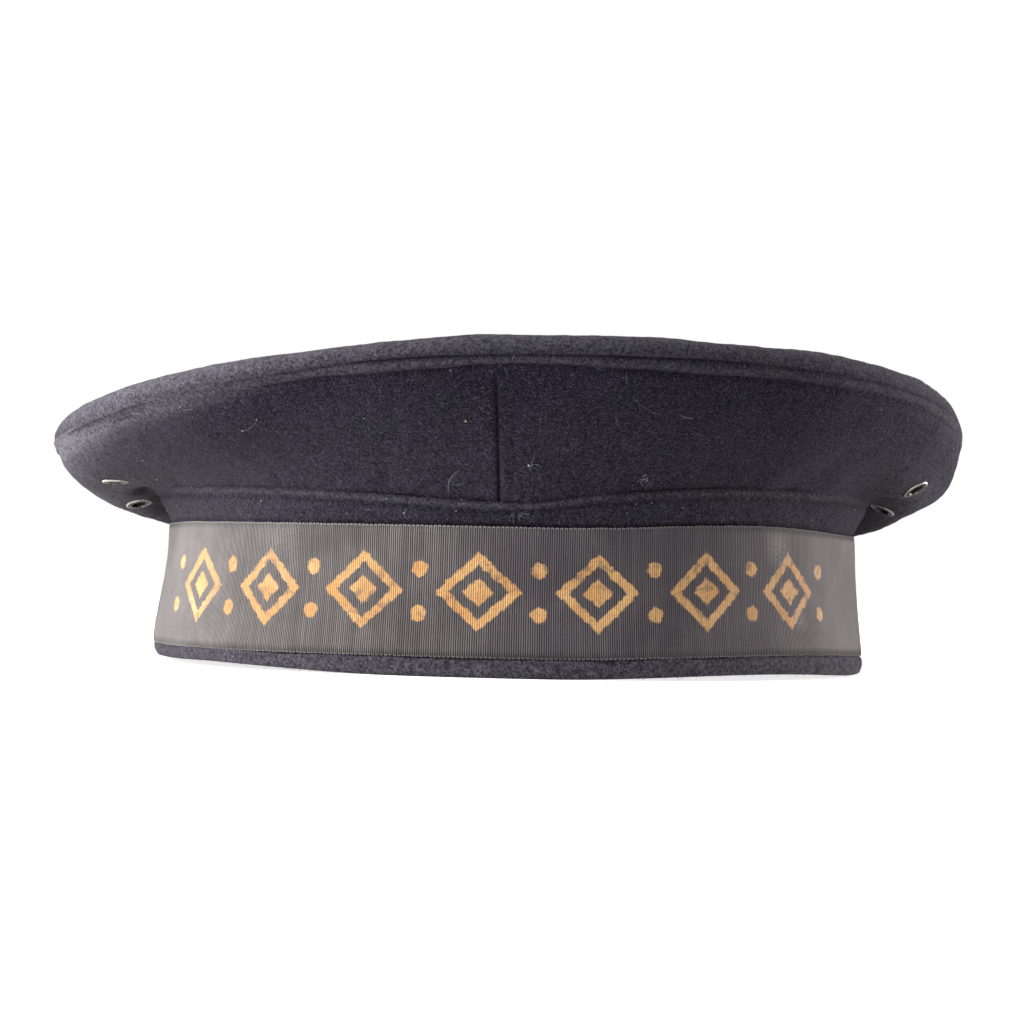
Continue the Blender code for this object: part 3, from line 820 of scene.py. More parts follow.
def side_lift(turn, along, rise, down, seam_gap, base):
    """How far the side's cloth stands out from the plain form, in mm."""
    width = ridge_width(turn)
    plain = seam_strength(turn)
    lift = dents(turn, along) + puckers(turn, rise) + ridge(down, width) * plain
    lift = lift - SEAM_SINK * plain * hump(down, 0.6)
    groove = hump(down - width, GROOVE_WIDTH) * plain
    lift = lift - STITCH_SINK * groove * (0.75 + 0.45 * needle_holes(turn * RIM_TRAVEL))
    lift = lift + 0.16 * hump(down - width - 1.9, 1.2)
    lift = lift - BAND_SEAM_SINK * hump(rise, 0.6) + 0.12 * hump(rise - 1.8, 1.0)
    lift = lift + corner_fill(turn, rise) + rim_fill(turn, down) + bumps(SAGS, turn, rise)
    sharp = front_seam_depth(down, width)
    right = np.sin(turn) > sin(radians(FRONT_SEAM))
    swell = np.where(right, FRONT_SWELL_RIGHT, FRONT_SWELL_LEFT) * hump(seam_gap - 1.9, 1.3)
    lift = lift + sharp * (swell - FRONT_GROOVE * hump(seam_gap, FRONT_GROOVE_WIDTH))
    lift = lift + 0.06 * hump(seam_gap, 2.2) * np.sin(base[..., 2] * 2 * pi / 5.2)
    return lift + uneven(base, SIDE_UNEVEN)


def side_painted_shade(turn, along, rise, down, seam_gap):
    """How dark the painted shade is (0 to 1) where the cloth turns in at seams, stitches and
    puckers, and in a broad patch near 30 degrees round.
    """
    width = ridge_width(turn)
    plain = seam_strength(turn)
    painted_shade = 0.74 * hump(seam_gap, 0.55) + 0.22 * hump(seam_gap, 1.2)
    painted_shade = painted_shade * front_seam_depth(down, width) + 0.34 * plain * hump(down, 0.45)
    stitched = 0.6 + 0.5 * needle_holes(turn * RIM_TRAVEL)
    painted_shade = painted_shade + 0.62 * plain * hump(down - width, 0.36) * stitched
    painted_shade = painted_shade + 0.34 * hump(rise, 0.8) * (1 - corner_softness(turn))
    painted_shade = painted_shade + 0.20 * hump(np.degrees(turn) % 360 - 30, 15)
    return np.clip(painted_shade + bumps(HOLLOW_SHADE, turn, along), 0, DARKEST)


def side_wear_and_painted_light(turn, rise, down):
    """How far the side is paled: rubbed along the rim's ridge, with painted light making it paler
    towards the left, where the light falls, and all over at both ends, where it stands in for
    sheen.
    """
    side = np.sin(turn)
    left = smooth(-side)
    past_ridge = down - ridge_width(turn) * 0.5
    past_ridge = np.where(past_ridge < 0, past_ridge * (1 - left), past_ridge)
    on_ridge = 0.6 + 1.15 * left ** 2 * (1 - side ** 16)
    at_ends = 0.7 * hump(down - 3.0, 5.0) + 0.7 * hump(rise - 13.0, 10.0)
    at_ends = at_ends + (0.25 + 0.45 * left) * (1 - 0.4 * side ** 20)
    wear_and_painted_light = on_ridge * hump(past_ridge, 1.3 + 3.0 * left ** 2) + 0.2 * smooth(down / 30)
    return wear_and_painted_light + np.abs(side) ** 10 * at_ends


def eyelet_place(name, angle, along):
    """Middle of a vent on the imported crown, its outward direction and two across it."""
    nudge = 0.02

    def on_side(turn, up):
        turns = np.array([[turn]])
        ups = np.array([[up]])
        points = raised(*bezier(side_controls(turns[0]), ups), dents(turns, ups))
        return Vector(place(turns, *points)[0, 0])

    turn = radians(angle)
    up = on_side(turn, along + nudge) - on_side(turn, along - nudge)
    side = on_side(turn + nudge, along) - on_side(turn - nudge, along)
    outward = side.cross(up).normalized()
    lean, swing = VENT_LEANS[name]
    outward.rotate(Quaternion(Vector((1.0, 0.0, 0.0)), radians(-lean)))
    outward.rotate(Quaternion(Vector((0.0, 1.0, 0.0)), radians(-swing)))
    side = (side - outward * side.dot(outward)).normalized()
    return on_side(turn, along), outward, side, outward.cross(side).normalized()


def press_vents(turn, line, ways, lift):
    """Cloth drawn flat under each vent's flange and swollen just outside it."""
    points = place(turn, *line) / MM
    facing = place(turn, ways[1], -ways[0]) / MM
    for eyelet in EYELETS:
        middle, outward, _, _ = eyelet_place(*eyelet)
        offset = points - np.array(middle) / MM
        far = np.linalg.norm(offset, axis=-1)
        level = -(offset @ np.array(outward))
        level = level / np.maximum(facing @ np.array(outward), LEAST_FACING)
        level = np.clip(level, -MOST_LEVELLING, MOST_LEVELLING) - FLANGE_SINK
        near = hump(far, FLANGE_REACH)
        lift = lift * (1 - near) + level * near
        lift = lift - 0.1 * hump(far, 3.2) + 0.16 * hump(far - 4.8, 1.1)
    return lift


# distances from an upright seam (mm) of the columns beside it
NEAR_SEAM = np.array([0.03, 0.15, 0.28, 0.42, 0.58, 0.78, 1.0, 1.3, 1.65, 2.05, 2.55, 3.1])


def side_columns(first, last):
    """Angles of one half's columns, closer together beside the two upright seams."""
    _, whole = angles_at(RIM_HALF_WIDTH, RIM_HALF_DEPTH, [0], first, last)
    edge = NEAR_SEAM[-1]
    middle = np.linspace(edge, whole - edge, round(whole / SIDE_STEP))[1:-1]
    arcs = np.concatenate([NEAR_SEAM, middle, whole - NEAR_SEAM[::-1]])
    turn, _ = angles_at(RIM_HALF_WIDTH, RIM_HALF_DEPTH, arcs / whole, first, last)
    return turn


# rows of the outer face: distances up from the band, distances down from the rim
LOW_ROWS = np.array([0.0, 0.22, 0.45, 0.7, 1.0, 1.35, 1.75, 2.25, 2.8])
HIGH_ROWS = np.arange(23, -1, -1) * 0.29
MIDDLE_ROWS = 42
# shares of the way up at which the inner face has its rows, and round the fold below it
INNER_SHARES = np.array([0.95, 0.88, 0.80, 0.72, 0.64, 0.56, 0.48, 0.40, 0.32, 0.24, 0.16, 0.09])
FOLD_SHARES = np.array([[0.0, 0.35, 0.7, 0.95]])


def side_rows(length):
    """Distance of each outer row up from the band's seam, for each column."""
    share = np.linspace(0, 1, MIDDLE_ROWS + 2)[None, 1:-1]
    middle = LOW_ROWS[-1] + (length - HIGH_ROWS[0] - LOW_ROWS[-1]) * share
    low = np.tile(LOW_ROWS, (len(length), 1))
    return np.concatenate([low, middle, length - HIGH_ROWS], axis=1)


def behind_rim(out, up):
    """Inner edge of the cut that a side and the top share at the rim."""
    cut = radians(SEAM_CUT)
    return np.stack([out - sin(cut) * WALL, up + cos(cut) * WALL])


def build_side(name, node, first, last):
    """One half of the crown's side: outer face, rim, inner face, fold over the band's edge."""
    turn = side_columns(first, last)
    turns = turn[:, None]
    controls = side_controls(turn)
    length = curve_length(controls)
    rise = side_rows(length)
    down = length - rise
    along = even_steps(controls, rise)
    line, ways = bezier(controls, along)
    seam_gap = np.minimum(turns - radians(first), radians(last) - turns) * rim_line(turns)[0]
    lift = side_lift(turns, along, rise, down, seam_gap, place(turns, *line) / MM)
    outer = raised(line, ways, press_vents(turns, line, ways, lift))
    inner_along = np.tile(INNER_SHARES, (len(turn), 1))
    inner = raised(*bezier(controls, inner_along), dents(turns, inner_along) - WALL)
    slope = np.radians(section_values(turn)[1])[:, None] + pi / 2
    swing = slope + (pi - slope) * FOLD_SHARES
    seam_out, seam_up = (value[:, None] for value in seam_line(turn))
    fold = np.stack([seam_out + WALL * np.cos(swing), seam_up + WALL * np.sin(swing)])
    section = np.concatenate([outer, behind_rim(*line[:, :, -1:]), inner, fold], axis=2)
    columns, rows = section.shape[1:]
    shares = np.concatenate([along, np.ones((columns, 1)), inner_along,
                             np.zeros((columns, fold.shape[2]))], axis=1)
    front_gap = np.where(np.cos(turns) > 0, seam_gap, FAR_AWAY)
    points = place(turns + seam_lean(front_gap, shares), *section)
    made = new_mesh(name, points, bar_faces(columns, rows), WOOL)
    # Paleness of wear with painted light, then painted shade, for the material to read.
    keep_rows(made, "wear_and_painted_light", rows, side_wear_and_painted_light(turns, rise, down))
    keep_rows(made, "painted_shade", rows, side_painted_shade(turns, along, rise, down, seam_gap))
    for eyelet in EYELETS:
        if first <= eyelet[1] < first + 180:
            pierce(made, *eyelet_place(*eyelet))
    dress(made, "wool", node)
    return made, points[:, :outer.shape[2]]


HOLE_FACETS = 32
HOLE_RADIUS = 2.5
HOLE_REACH = 5.0


def pierce(made, middle, outward, side, across):
    """Cut one vent's round hole through the cloth."""
    points = [middle + (way * HOLE_RADIUS + outward * height) * MM
              for height in (-HOLE_REACH, HOLE_REACH) for way in spokes(side, across, HOLE_FACETS)]
    ring = range(HOLE_FACETS)
    walls = [(index, (index + 1) % HOLE_FACETS) for index in ring]
    faces = [(a, b, b + HOLE_FACETS, a + HOLE_FACETS) for a, b in walls]
    faces += [list(reversed(ring)), [index + HOLE_FACETS for index in ring]]
    cutter = new_mesh("hole", points, faces, None, smooth_faces=False)
    face_outward(cutter.data)
    cut = made.modifiers.new("vent", "BOOLEAN")
    cut.operation = "DIFFERENCE"
    cut.solver = "EXACT"
    cut.object = cutter
    bpy.context.view_layer.update()
    evaluated = made.evaluated_get(bpy.context.evaluated_depsgraph_get())
    pierced = bpy.data.meshes.new_from_object(evaluated)
    made.modifiers.clear()
    made.data = pierced
    bpy.data.objects.remove(cutter, do_unlink=True)


# ---------------------------------------------------------------- top
ROLL_SWELL = 0.22             # how proud the roll stands just inside the rim's seam
CENTRE_RISE = 0.1
TOP_UNEVEN = ((0.20, 58.0, 21), (0.08, 21.0, 22), (0.045, 6.5, 23), (0.04, 2.8, 24))
# rows up the roll (mm), then the shares of what is left; shares of the way back down inside
ROLL_ROWS = np.array([0.0, 0.2, 0.42, 0.68, 1.0, 1.4, 1.85, 2.4, 3.0, 3.6, 4.2, 4.8, 5.4])
ROLL_REST = np.linspace(0, 1, 11)[1:]
BACK_SHARES = np.array([1.0, 0.8, 0.62, 0.45, 0.3])
# how far out the rows of the flat and of its underside lie, as shares
TOP_REACHES = np.linspace(1.0, 0.0, 62)[1:-1] ** 0.92
UNDER_REACHES = np.array([0.03, 0.15, 0.3, 0.45, 0.6, 0.74, 0.86])


def top_height(turn, reach):
    up = waves(RIM_WAVES, turn, reach) + waves(ROLL_WAVES, turn, reach)
    up = up - TOP_DISH * (1 - reach * reach) ** 2
    shoulder = rim_line(turn)[0] - ROLL_WIDTH
    x = shoulder * reach * np.sin(turn)
    y = shoulder * reach * np.cos(turn)
    for angle, out, width, height in TOP_WAVES:
        wx = shoulder * out * sin(radians(angle))
        wy = shoulder * out * cos(radians(angle))
        up = up + height * np.exp(-((x - wx) ** 2 + (y - wy) ** 2) / width ** 2)
    return up


def roll_controls(turn):
    rim_out, rim_up = rim_line(turn)
    cut = radians(SEAM_CUT)
    leave = np.radians(waves(ROLL_START_WAVES, turn))
    start = (rim_out + SEAM_TOUCH * cos(cut), rim_up + SEAM_TOUCH * sin(cut))
    end = (rim_out - ROLL_WIDTH, top_height(turn, 1.0))
    slope = np.arctan2(end[1] - top_height(turn, 0.98), end[0] * 0.02)
    return (pair(*start),
            pair(start[0] + ROLL_PULL * np.cos(leave), start[1] + ROLL_PULL * np.sin(leave)),
            pair(end[0] + ROLL_END_PULL * np.cos(slope), end[1] + ROLL_END_PULL * np.sin(slope)),
            pair(*end))


def top_faces(columns, rows, upper_rows):
    """Faces of the top's closed section, with a fan at the middle of each of its two skins."""
    quads = np.array(grid_quads(columns, rows))
    faces = quads[quads[:, 0] % rows != upper_rows - 1].tolist()
    centre = columns * rows
    for index in range(columns):
        here = index * rows + upper_rows - 1
        there = (index + 1) % columns * rows + upper_rows - 1
        faces.append([here, there, centre])
        faces.append([here + 1, centre + 1, there + 1])
    return faces


def build_top(name, node):
    """The rolled edge and the flat, then the underside and the roll's back."""
    turn = all_round(TOP_COLUMNS)
    turns = turn[:, None]
    controls = roll_controls(turn)
    rolled = np.tile(ROLL_ROWS, (len(turn), 1))
    rest = ROLL_ROWS[-1] + (curve_length(controls) - ROLL_ROWS[-1]) * ROLL_REST
    climbed = np.concatenate([rolled, rest], axis=1)
    line, ways = bezier(controls, even_steps(controls, climbed))
    plain = seam_strength(turns)
    lift = plain * (ROLL_SWELL * hump(climbed - 1.7, 1.0) - SEAM_SINK * 0.9 * hump(climbed, 0.5))
    lift = lift + uneven(place(turns, *line) / MM, TOP_UNEVEN) * smooth(climbed / 1.5)
    roll = raised(line, ways, lift + rim_fill(turns, climbed))
    shoulder = controls[3][0]
    flat = np.stack([shoulder * TOP_REACHES, top_height(turns, TOP_REACHES[None, :])])
    flat[1] += uneven(place(turns, *flat) / MM, TOP_UNEVEN)
    under = np.stack([shoulder * UNDER_REACHES, top_height(turns, UNDER_REACHES[None, :]) - WALL])
    back = raised(*bezier(controls, np.tile(BACK_SHARES, (len(turn), 1))), -WALL)
    section = np.concatenate([roll, flat, under, back, behind_rim(*line[:, :, :1])], axis=2)
    columns, rows = section.shape[1:]
    upper_rows = roll.shape[2] + flat.shape[2]
    points = place(turns, *section)
    middle = top_height(0.0, 0.0)
    centres = np.array([[0, 0, middle + CENTRE_RISE], [0, 0, middle - WALL]]) * MM
    made = new_mesh(name, np.concatenate([points.reshape(-1, 3), centres]),
                    top_faces(columns, rows, upper_rows), WOOL)
    # Wear with painted light: paler towards the left, where the light falls, towards the right end
    # and along the roll's crest.
    side = np.sin(turns)
    rubbed_and_lit = 1.0 + 1.2 * smooth(-side) + 0.6 * np.clip(side, 0, 1) ** 10
    rubbed_and_lit = rubbed_and_lit - 1.2 * np.clip(-side, 0, 1) ** 16
    from_roll = shoulder * (1 - TOP_REACHES)
    keep_rows(made, "wear_and_painted_light", rows, rubbed_and_lit * (0.42 + 0.42 * hump(climbed - 5.5, 3.5)),
              0.2 + (0.42 * rubbed_and_lit - 0.2) * hump(from_roll, 9.0), extra=len(centres))
    # Painted shade in the rim's seam.
    keep_rows(made, "painted_shade", rows, 0.34 * plain * hump(climbed, 0.45), extra=len(centres))
    dress(made, "wool", node)
    return made, points[:, :upper_rows]


# ---------------------------------------------------------------- band
BAND_UNEVEN = ((0.14, 21.0, 31), (0.05, 6.0, 32), (0.04, 2.6, 34))
BAND_TOP_DOWNS = np.array([0.0, 0.2, 0.42, 0.68, 1.0, 1.35, 1.7, 2.05, 2.4, 2.75, 3.1, 3.5])
BAND_TOP_REST = np.linspace(0, 1, 12)[1:]
RECESS_UPS = np.array([[RIBBON_TOP + GAP, 21.0, RIBBON_BOTTOM - GAP]])
RECESS_DEPTH = 0.62
STRIP_SINK = 0.35             # how deep the strip turns in at the ribbon's upper edge
LOW_SINK = 0.3                # and at its lower edge
INNER_DENTS = 0.18
BAND_LOW_ROWS = np.array([4.7, 4.3, 3.9, 3.5, 3.1, 2.7])
BAND_INNER_UPS = np.array([1.6, 5.0, 10.0, 15.0, 20.0, 25.0, 30.0, 35.0, 38.5])
# distance out from the flared wall and height of each point round the folded edge
BAND_FOLD = np.array((
    (0.24, 2.3),
    (0.20, 1.9),
    (0.08, 1.45),
    (-0.10, 1.05),
    (-0.36, 0.62),
    (-0.72, 0.28),
    (-1.15, 0.06),
    (-1.7, 0.0),
    (-2.3, 0.0),
    (-2.75, 0.3),
    (-2.95, 0.8),
))
FOLD_ROWS_SHOWN = 6


def band_push(turn, up):
    """How far a point of the band or ribbon has been pushed out from its plain place."""
    at, reach, most, height, over, under = BAND_PUSH
    away = np.where(up > height, (up - height) / over, (height - up) / under)
    return most * fade(np.abs(off_from(turn, at)) / reach) * fade(away)


def flare(turn, up):
    """How far the band stands out past its waist at a height."""
    below = np.clip((WAIST_HEIGHT - up) / FLARE_REACH, 0, None)
    return BAND_FLARE * below ** 2 + band_push(turn, up)


def band_lift(turn, up):
    """How far a point of the band or ribbon has been pushed up from its plain height."""
    rise = np.clip((up - RIBBON_BOTTOM) / (RIBBON_TOP - RIBBON_BOTTOM), 0, 1)
    drop = np.clip((RIBBON_BOTTOM - up) / RIBBON_BOTTOM, 0, 1)
    total = 0.0
    for at, reach, bottom, low, high in BAND_LIFTS:
        lift = low + (high - low) * rise + (bottom - low) * drop
        total = total + lift * fade(np.abs(off_from(turn, at)) / reach)
    return total


def build_band(name, node):
    """The strip above the ribbon, the recess behind it, the folded edge, the inner face."""
    turns = all_round(BAND_COLUMNS)[:, None]
    count = len(turns)
    waist = band_oval(BAND_HALF_WIDTH, BAND_HALF_DEPTH, turns)
    seam_out, seam_up = (value[:, None] for value in seam_line(turns[:, 0]))
    top = seam_up - SEAM_TOUCH
    high = RIBBON_TOP + GAP + band_lift(turns, RIBBON_TOP)
    reach = BAND_TOP_DOWNS[-1]
    rest = reach + (top - high - reach) * BAND_TOP_REST
    downs = np.concatenate([np.tile(BAND_TOP_DOWNS, (count, 1)), rest], axis=1)
    ups = top - downs
    outs = waist + (seam_out - waist) * smooth((ups - high) / (top - BAND_RIDGE_WIDTH - high))
    holes = 0.75 + 0.45 * needle_holes(turns * BAND_TRAVEL)
    near_ribbon = smooth((ups - high) / 1.5)
    lift = ridge(downs, BAND_RIDGE_WIDTH) - BAND_SEAM_SINK * hump(downs, 0.6)
    lift = lift - STITCH_SINK * 0.8 * hump(downs - BAND_RIDGE_WIDTH, 0.7) * holes
    lift = lift + corner_fill(turns, downs) - STRIP_SINK * (1 - near_ribbon)
    strip = np.stack([outs + lift + uneven(place(turns, outs, ups) / MM, BAND_UNEVEN), ups])
    recess = np.stack([waist + flare(turns, RECESS_UPS) - RECESS_DEPTH,
                       RECESS_UPS + band_lift(turns, RECESS_UPS)])
    low_ups = np.tile(BAND_LOW_ROWS, (count, 1))
    low_outs = waist + flare(turns, low_ups) - LOW_SINK * hump(low_ups - BAND_LOW_ROWS[0], 0.5)
    fold_ups = np.tile(BAND_FOLD[:, 1], (count, 1))
    fold_outs = waist + BAND_FLARE + BAND_FOLD[:, 0] + band_push(turns, fold_ups)
    edge_outs = np.concatenate([low_outs, fold_outs], axis=1)
    edge_ups = np.concatenate([low_ups, fold_ups], axis=1)
    edge_ups = edge_ups + band_lift(turns, edge_ups)
    base = place(turns, edge_outs, edge_ups) / MM
    edge = np.stack([edge_outs + uneven(base, BAND_UNEVEN + ((0.16, 24.0, 33),)), edge_ups])
    inner_ups = np.tile(BAND_INNER_UPS, (count, 1))
    inner_outs = waist - BAND_WALL + flare(turns, inner_ups) * BAND_INNER_FLARE
    base = place(turns, inner_outs, inner_ups) / MM
    inner = np.stack([inner_outs - INNER_DENTS * np.abs(ripples(base, 22.0, 35)),
                      inner_ups + band_lift(turns, inner_ups)])
    last = np.stack([seam_out - BAND_WALL + 0.2, top - 0.1])
    section = np.concatenate([strip, recess, edge, inner, last], axis=2)
    rows = section.shape[2]
    points = place(turns, *section)
    made = new_mesh(name, points, grid_quads(count, rows), WOOL)
    # Wear with painted light: the ridge and the folded lower edge rubbed pale, the edge paler at
    # the sides and most on the +X side, standing in for sheen and side light.
    rubbed_and_lit = 1.0 + 0.3 * np.abs(np.sin(turns)) + 0.45 * np.sin(turns)
    keep_rows(made, "wear_and_painted_light", rows, 0.2 + 0.42 * hump(downs - BAND_RIDGE_WIDTH / 2, 0.9),
              np.zeros((count, recess.shape[2])),
              rubbed_and_lit * (0.85 + 0.3 * hump(edge_ups - 1.0, 1.2)))
    # Painted shade in the stitch groove, at the strip's foot above the ribbon and in the corner
    # under the crown.
    painted_shade = 0.62 * hump(downs - BAND_RIDGE_WIDTH, 0.6) * holes + 0.6 * (1 - near_ribbon)
    painted_shade = painted_shade + 0.2 * (1 - corner_softness(turns)) * hump(downs, 0.5)
    keep_rows(made, "painted_shade", rows, np.clip(painted_shade, 0, DARKEST))
    dress(made, "wool", node)
    first_low = strip.shape[2] + recess.shape[2]
    shown_low = points[:, first_low:first_low + len(BAND_LOW_ROWS) + FOLD_ROWS_SHOWN]
    return made, points[:, :strip.shape[2]], shown_low


# ---------------------------------------------------------------- ribbon
RIBBON_UNEVEN = ((0.13, 34.0, 41), (0.05, 11.0, 42))
RIBBON_SHARES = np.array([0.0, 0.06, 0.16, 0.30, 0.44, 0.58, 0.72, 0.84, 0.94, 1.0])
BACK_ROWS = [-2, 5, 1]        # outer rows that the ribbon's back follows
SAMPLES_PER_RIB = 4
MOST_RIBS = 1400
RIBBON_SEED = 5
RIB_HEIGHTS = (0.86, 1.08)    # shares of the full size, drawn for each rib and each loop
LOOP_LENGTHS = (0.6, 1.15)
LOOP_SINK = 0.1
EDGE_ROUND = 0.16
BACK_INSET = 0.1


def build_ribbon(name, node):
    """The ribbed outer face with its edge loops, and a plain back."""
    half = (BAND_HALF_WIDTH + RIBBON_PROUD, BAND_HALF_DEPTH + RIBBON_PROUD)
    _, whole = angles_at(*half, [0], RIBBON_START, RIBBON_END)
    _, to_front = angles_at(*half, [0], RIBBON_START, 360)
    arcs = np.linspace(0, 1, round(whole / RIB_PITCH * SAMPLES_PER_RIB))
    turns = angles_at(*half, arcs, RIBBON_START, RIBBON_END)[0][:, None]
    distance = arcs[:, None] * whole
    ribs = distance / RIB_PITCH
    rng = np.random.default_rng(RIBBON_SEED)
    tall = np.interp(ribs, np.arange(MOST_RIBS), rng.uniform(*RIB_HEIGHTS, MOST_RIBS))
    long_loops = rng.uniform(*LOOP_LENGTHS, MOST_RIBS // 2)
    reach = np.abs(np.sin(pi * ribs / 2)) ** 0.4 * LOOP_REACH
    reach = reach * np.interp(ribs / 2, np.arange(MOST_RIBS // 2), long_loops) - LOOP_SINK
    climb = smooth((np.degrees(turns) - RIBBON_LIFT_FROM) / (RIBBON_LIFT_TO - RIBBON_LIFT_FROM))
    width = RIBBON_TOP - RIBBON_BOTTOM
    ups = RIBBON_BOTTOM + width * RIBBON_SHARES * np.ones_like(turns)
    face = band_oval(BAND_HALF_WIDTH, BAND_HALF_DEPTH, turns) + RIBBON_PROUD + flare(turns, ups)
    low_ribs = 1.0 - 0.6 * smooth((np.abs(np.sin(turns)) - 0.68) / 0.22)
    height = np.abs(np.sin(pi * ribs)) ** 0.8 * tall * RIB_HEIGHT * low_ribs
    wave = uneven(place(turns, face, ups) / MM, RIBBON_UNEVEN)
    edge = (RIBBON_SHARES == 1).astype(float) - (RIBBON_SHARES == 0)
    outer_out = face - RIB_HEIGHT + height + wave + LAP_LIFT * climb - EDGE_ROUND * np.abs(edge)
    outer = np.stack([outer_out, ups + edge * reach + band_lift(turns, ups)])
    back_ups = np.array([RIBBON_TOP - BACK_INSET, RIBBON_BOTTOM + width / 2,
                         RIBBON_BOTTOM + BACK_INSET])
    back_ups = back_ups * np.ones_like(turns)
    back_out = outer_out[:, BACK_ROWS] - RIBBON_CLOTH - height
    back_out = back_out + flare(turns, back_ups) - flare(turns, ups[:, BACK_ROWS])
    back = np.stack([back_out, back_ups + band_lift(turns, back_ups)])
    section = np.concatenate([outer, back], axis=2)
    columns, rows = section.shape[1:]
    made = new_mesh(name, place(turns, *section), bar_faces(columns, rows), RIBBON)
    from_middle = np.concatenate([ups, back_ups], axis=1) - (RIBBON_BOTTOM + RIBBON_TOP) / 2
    spots = np.stack([(distance - to_front) * np.ones(rows), from_middle,
                      ribs * np.ones(rows)], axis=-1)
    keep(made, "cloth", spots, "FLOAT_VECTOR", "vector")
    dress(made, "ribbon", node)
    return made


# ---------------------------------------------------------------- vents
VENT_FACETS = 48
# radius, height over the cloth, how bare the blackening is worn
VENT_PROFILE = (
    (1.80, -3.1, 0.0),
    (1.80, -1.0, 0.0),
    (1.82, 0.05, 0.1),
    (1.92, 0.36, 0.3),
    (2.10, 0.56, 0.45),
    (2.32, 0.62, 0.10),
    (2.58, 0.56, 0.0),
    (2.85, 0.50, 0.1),
    (3.08, 0.46, 0.6),
    (3.26, 0.38, 1.0),
    (3.38, 0.22, 1.0),
    (3.40, 0.06, 0.8),
    (3.30, -0.12, 0.1),
    (2.90, -0.16, 0.0),
    (2.20, -0.10, 0.0),
    (2.20, -2.70, 0.0),
    (3.00, -2.70, 0.1),
    (3.00, -3.10, 0.3),
)


def build_vent(name, eyelet):
    middle, outward, side, across = eyelet_place(*eyelet)
    points = [middle + (way * radius + outward * height) * MM
              for way in spokes(side, across, VENT_FACETS) for radius, height, _ in VENT_PROFILE]
    made = new_mesh(name, points, grid_quads(VENT_FACETS, len(VENT_PROFILE)), METAL)
    face_outward(made.data)
    keep(made, "wear_and_painted_light", [bare for _, _, bare in VENT_PROFILE] * VENT_FACETS)
    return dress(made, "vent_metal", eyelet[0])


# ---------------------------------------------------------------- stitches
STITCH_SIDES = 6
STITCH_LINE_POINTS = 900
RIM_STITCH_DEPTH = 0.42       # how far the rows of stitches sink below the plain form
BAND_STITCH_DEPTH = 0.34
# distance along the stitch, height over the cloth, share of full thickness
STITCH_ARCH = (
    (-0.46, -0.30, 0.6),
    (-0.40, 0.02, 0.9),
    (-0.20, 0.16, 1.0),
    (0.0, 0.20, 1.0),
    (0.20, 0.16, 1.0),
    (0.40, 0.02, 0.9),
    (0.46, -0.30, 0.6),
)


def sew(name, path, normals):
    """A row of sunken stitches along a closed line of points (metres)."""
    path = np.vstack([path, path[:1]])
    normals = np.vstack([normals, normals[:1]])
    steps = np.linalg.norm(np.diff(path, axis=0), axis=1) / MM
    reached = np.concatenate([[0], np.cumsum(steps)])
    count = round(reached[-1] / STITCH_LENGTH)

    def at(distance, line):
        return np.array([np.interp(distance % reached[-1], reached, line[:, k])
                         for k in range(3)]).T

    rings = []
    for shift, height, thick in STITCH_ARCH:
        distance = (np.arange(count) + 0.5 + shift) * (reached[-1] / count)
        normal = unit(at(distance, normals))
        beside = np.cross(normal, unit(at(distance + 0.2, path) - at(distance - 0.2, path)))
        middle = at(distance, path) + normal * height * MM
        for way in spokes(beside, normal, STITCH_SIDES):
            rings.append(middle + way * thick * STITCH_THICKNESS / 2 * MM)
    block = len(rings)
    points = np.array(rings).transpose(1, 0, 2)
    one = np.array(grid_quads(len(STITCH_ARCH), STITCH_SIDES, False))
    faces = (one[None] + (np.arange(count) * block)[:, None, None]).reshape(-1, 4).tolist()
    return dress(new_mesh(name, points, faces, THREAD), "wool")


def rim_stitch_line():
    turns = all_round(STITCH_LINE_POINTS)[:, None]
    controls = side_controls(turns[:, 0])
    along = even_steps(controls, curve_length(controls) - ridge_width(turns))
    line, ways = bezier(controls, along)
    normals = place(turns, ways[1], -ways[0]) / MM
    return place(turns, *raised(line, ways, -RIM_STITCH_DEPTH))[:, 0], normals[:, 0]


def band_stitch_line():
    turns = all_round(STITCH_LINE_POINTS)[:, None]
    out, up = (value[:, None] for value in seam_line(turns[:, 0]))
    line = place(turns, out - BAND_STITCH_DEPTH, up - SEAM_TOUCH - BAND_RIDGE_WIDTH)[:, 0]
    return line, unit(line * [1.0, 1.0, 0.0])


# ---------------------------------------------------------------- nap
def grid_normals(points):
    normals = np.cross(np.gradient(points, axis=1), np.gradient(points, axis=0))
    return normals / np.maximum(np.linalg.norm(normals, axis=-1, keepdims=True), 1e-12)


def nap_roots(points, count, rng, closed=False):
    """Random places on a grid of points, evenly over its area, with their normals."""
    if closed:
        points = np.concatenate([points, points[:1]], axis=0)
    normals = grid_normals(points)
    edge_a = points[1:, :-1] - points[:-1, :-1]
    edge_b = points[:-1, 1:] - points[:-1, :-1]
    area = np.linalg.norm(np.cross(edge_a, edge_b), axis=-1)
    cell = rng.choice(area.size, count, p=(area / area.sum()).ravel())
    i, j = np.divmod(cell, area.shape[1])
    u, v = rng.random((2, count, 1))

    def blend(values):
        near = values[i, j] * (1 - u) + values[i + 1, j] * u
        far = values[i, j + 1] * (1 - u) + values[i + 1, j + 1] * u
        return near * (1 - v) + far * v

    return blend(points), unit(blend(normals))


# one hair: its length and the spread of that (mm), rise, bend, width (mm), tip's share of rise
NAP_LENGTHS = (0.5, 1.5)
NAP_SPREAD = (0.7, 1.4)
NAP_RISES = (0.05, 0.42)
NAP_BEND = 0.6
NAP_WIDTHS = (0.035, 0.06)
NAP_TIP_RISES = (-0.6, 1.1)
NAP_ROOT = 0.03
SIDE_HAIRS = 38000
TOP_HAIRS = 62000
STRIP_HAIRS = 15000
EDGE_HAIRS = 9000


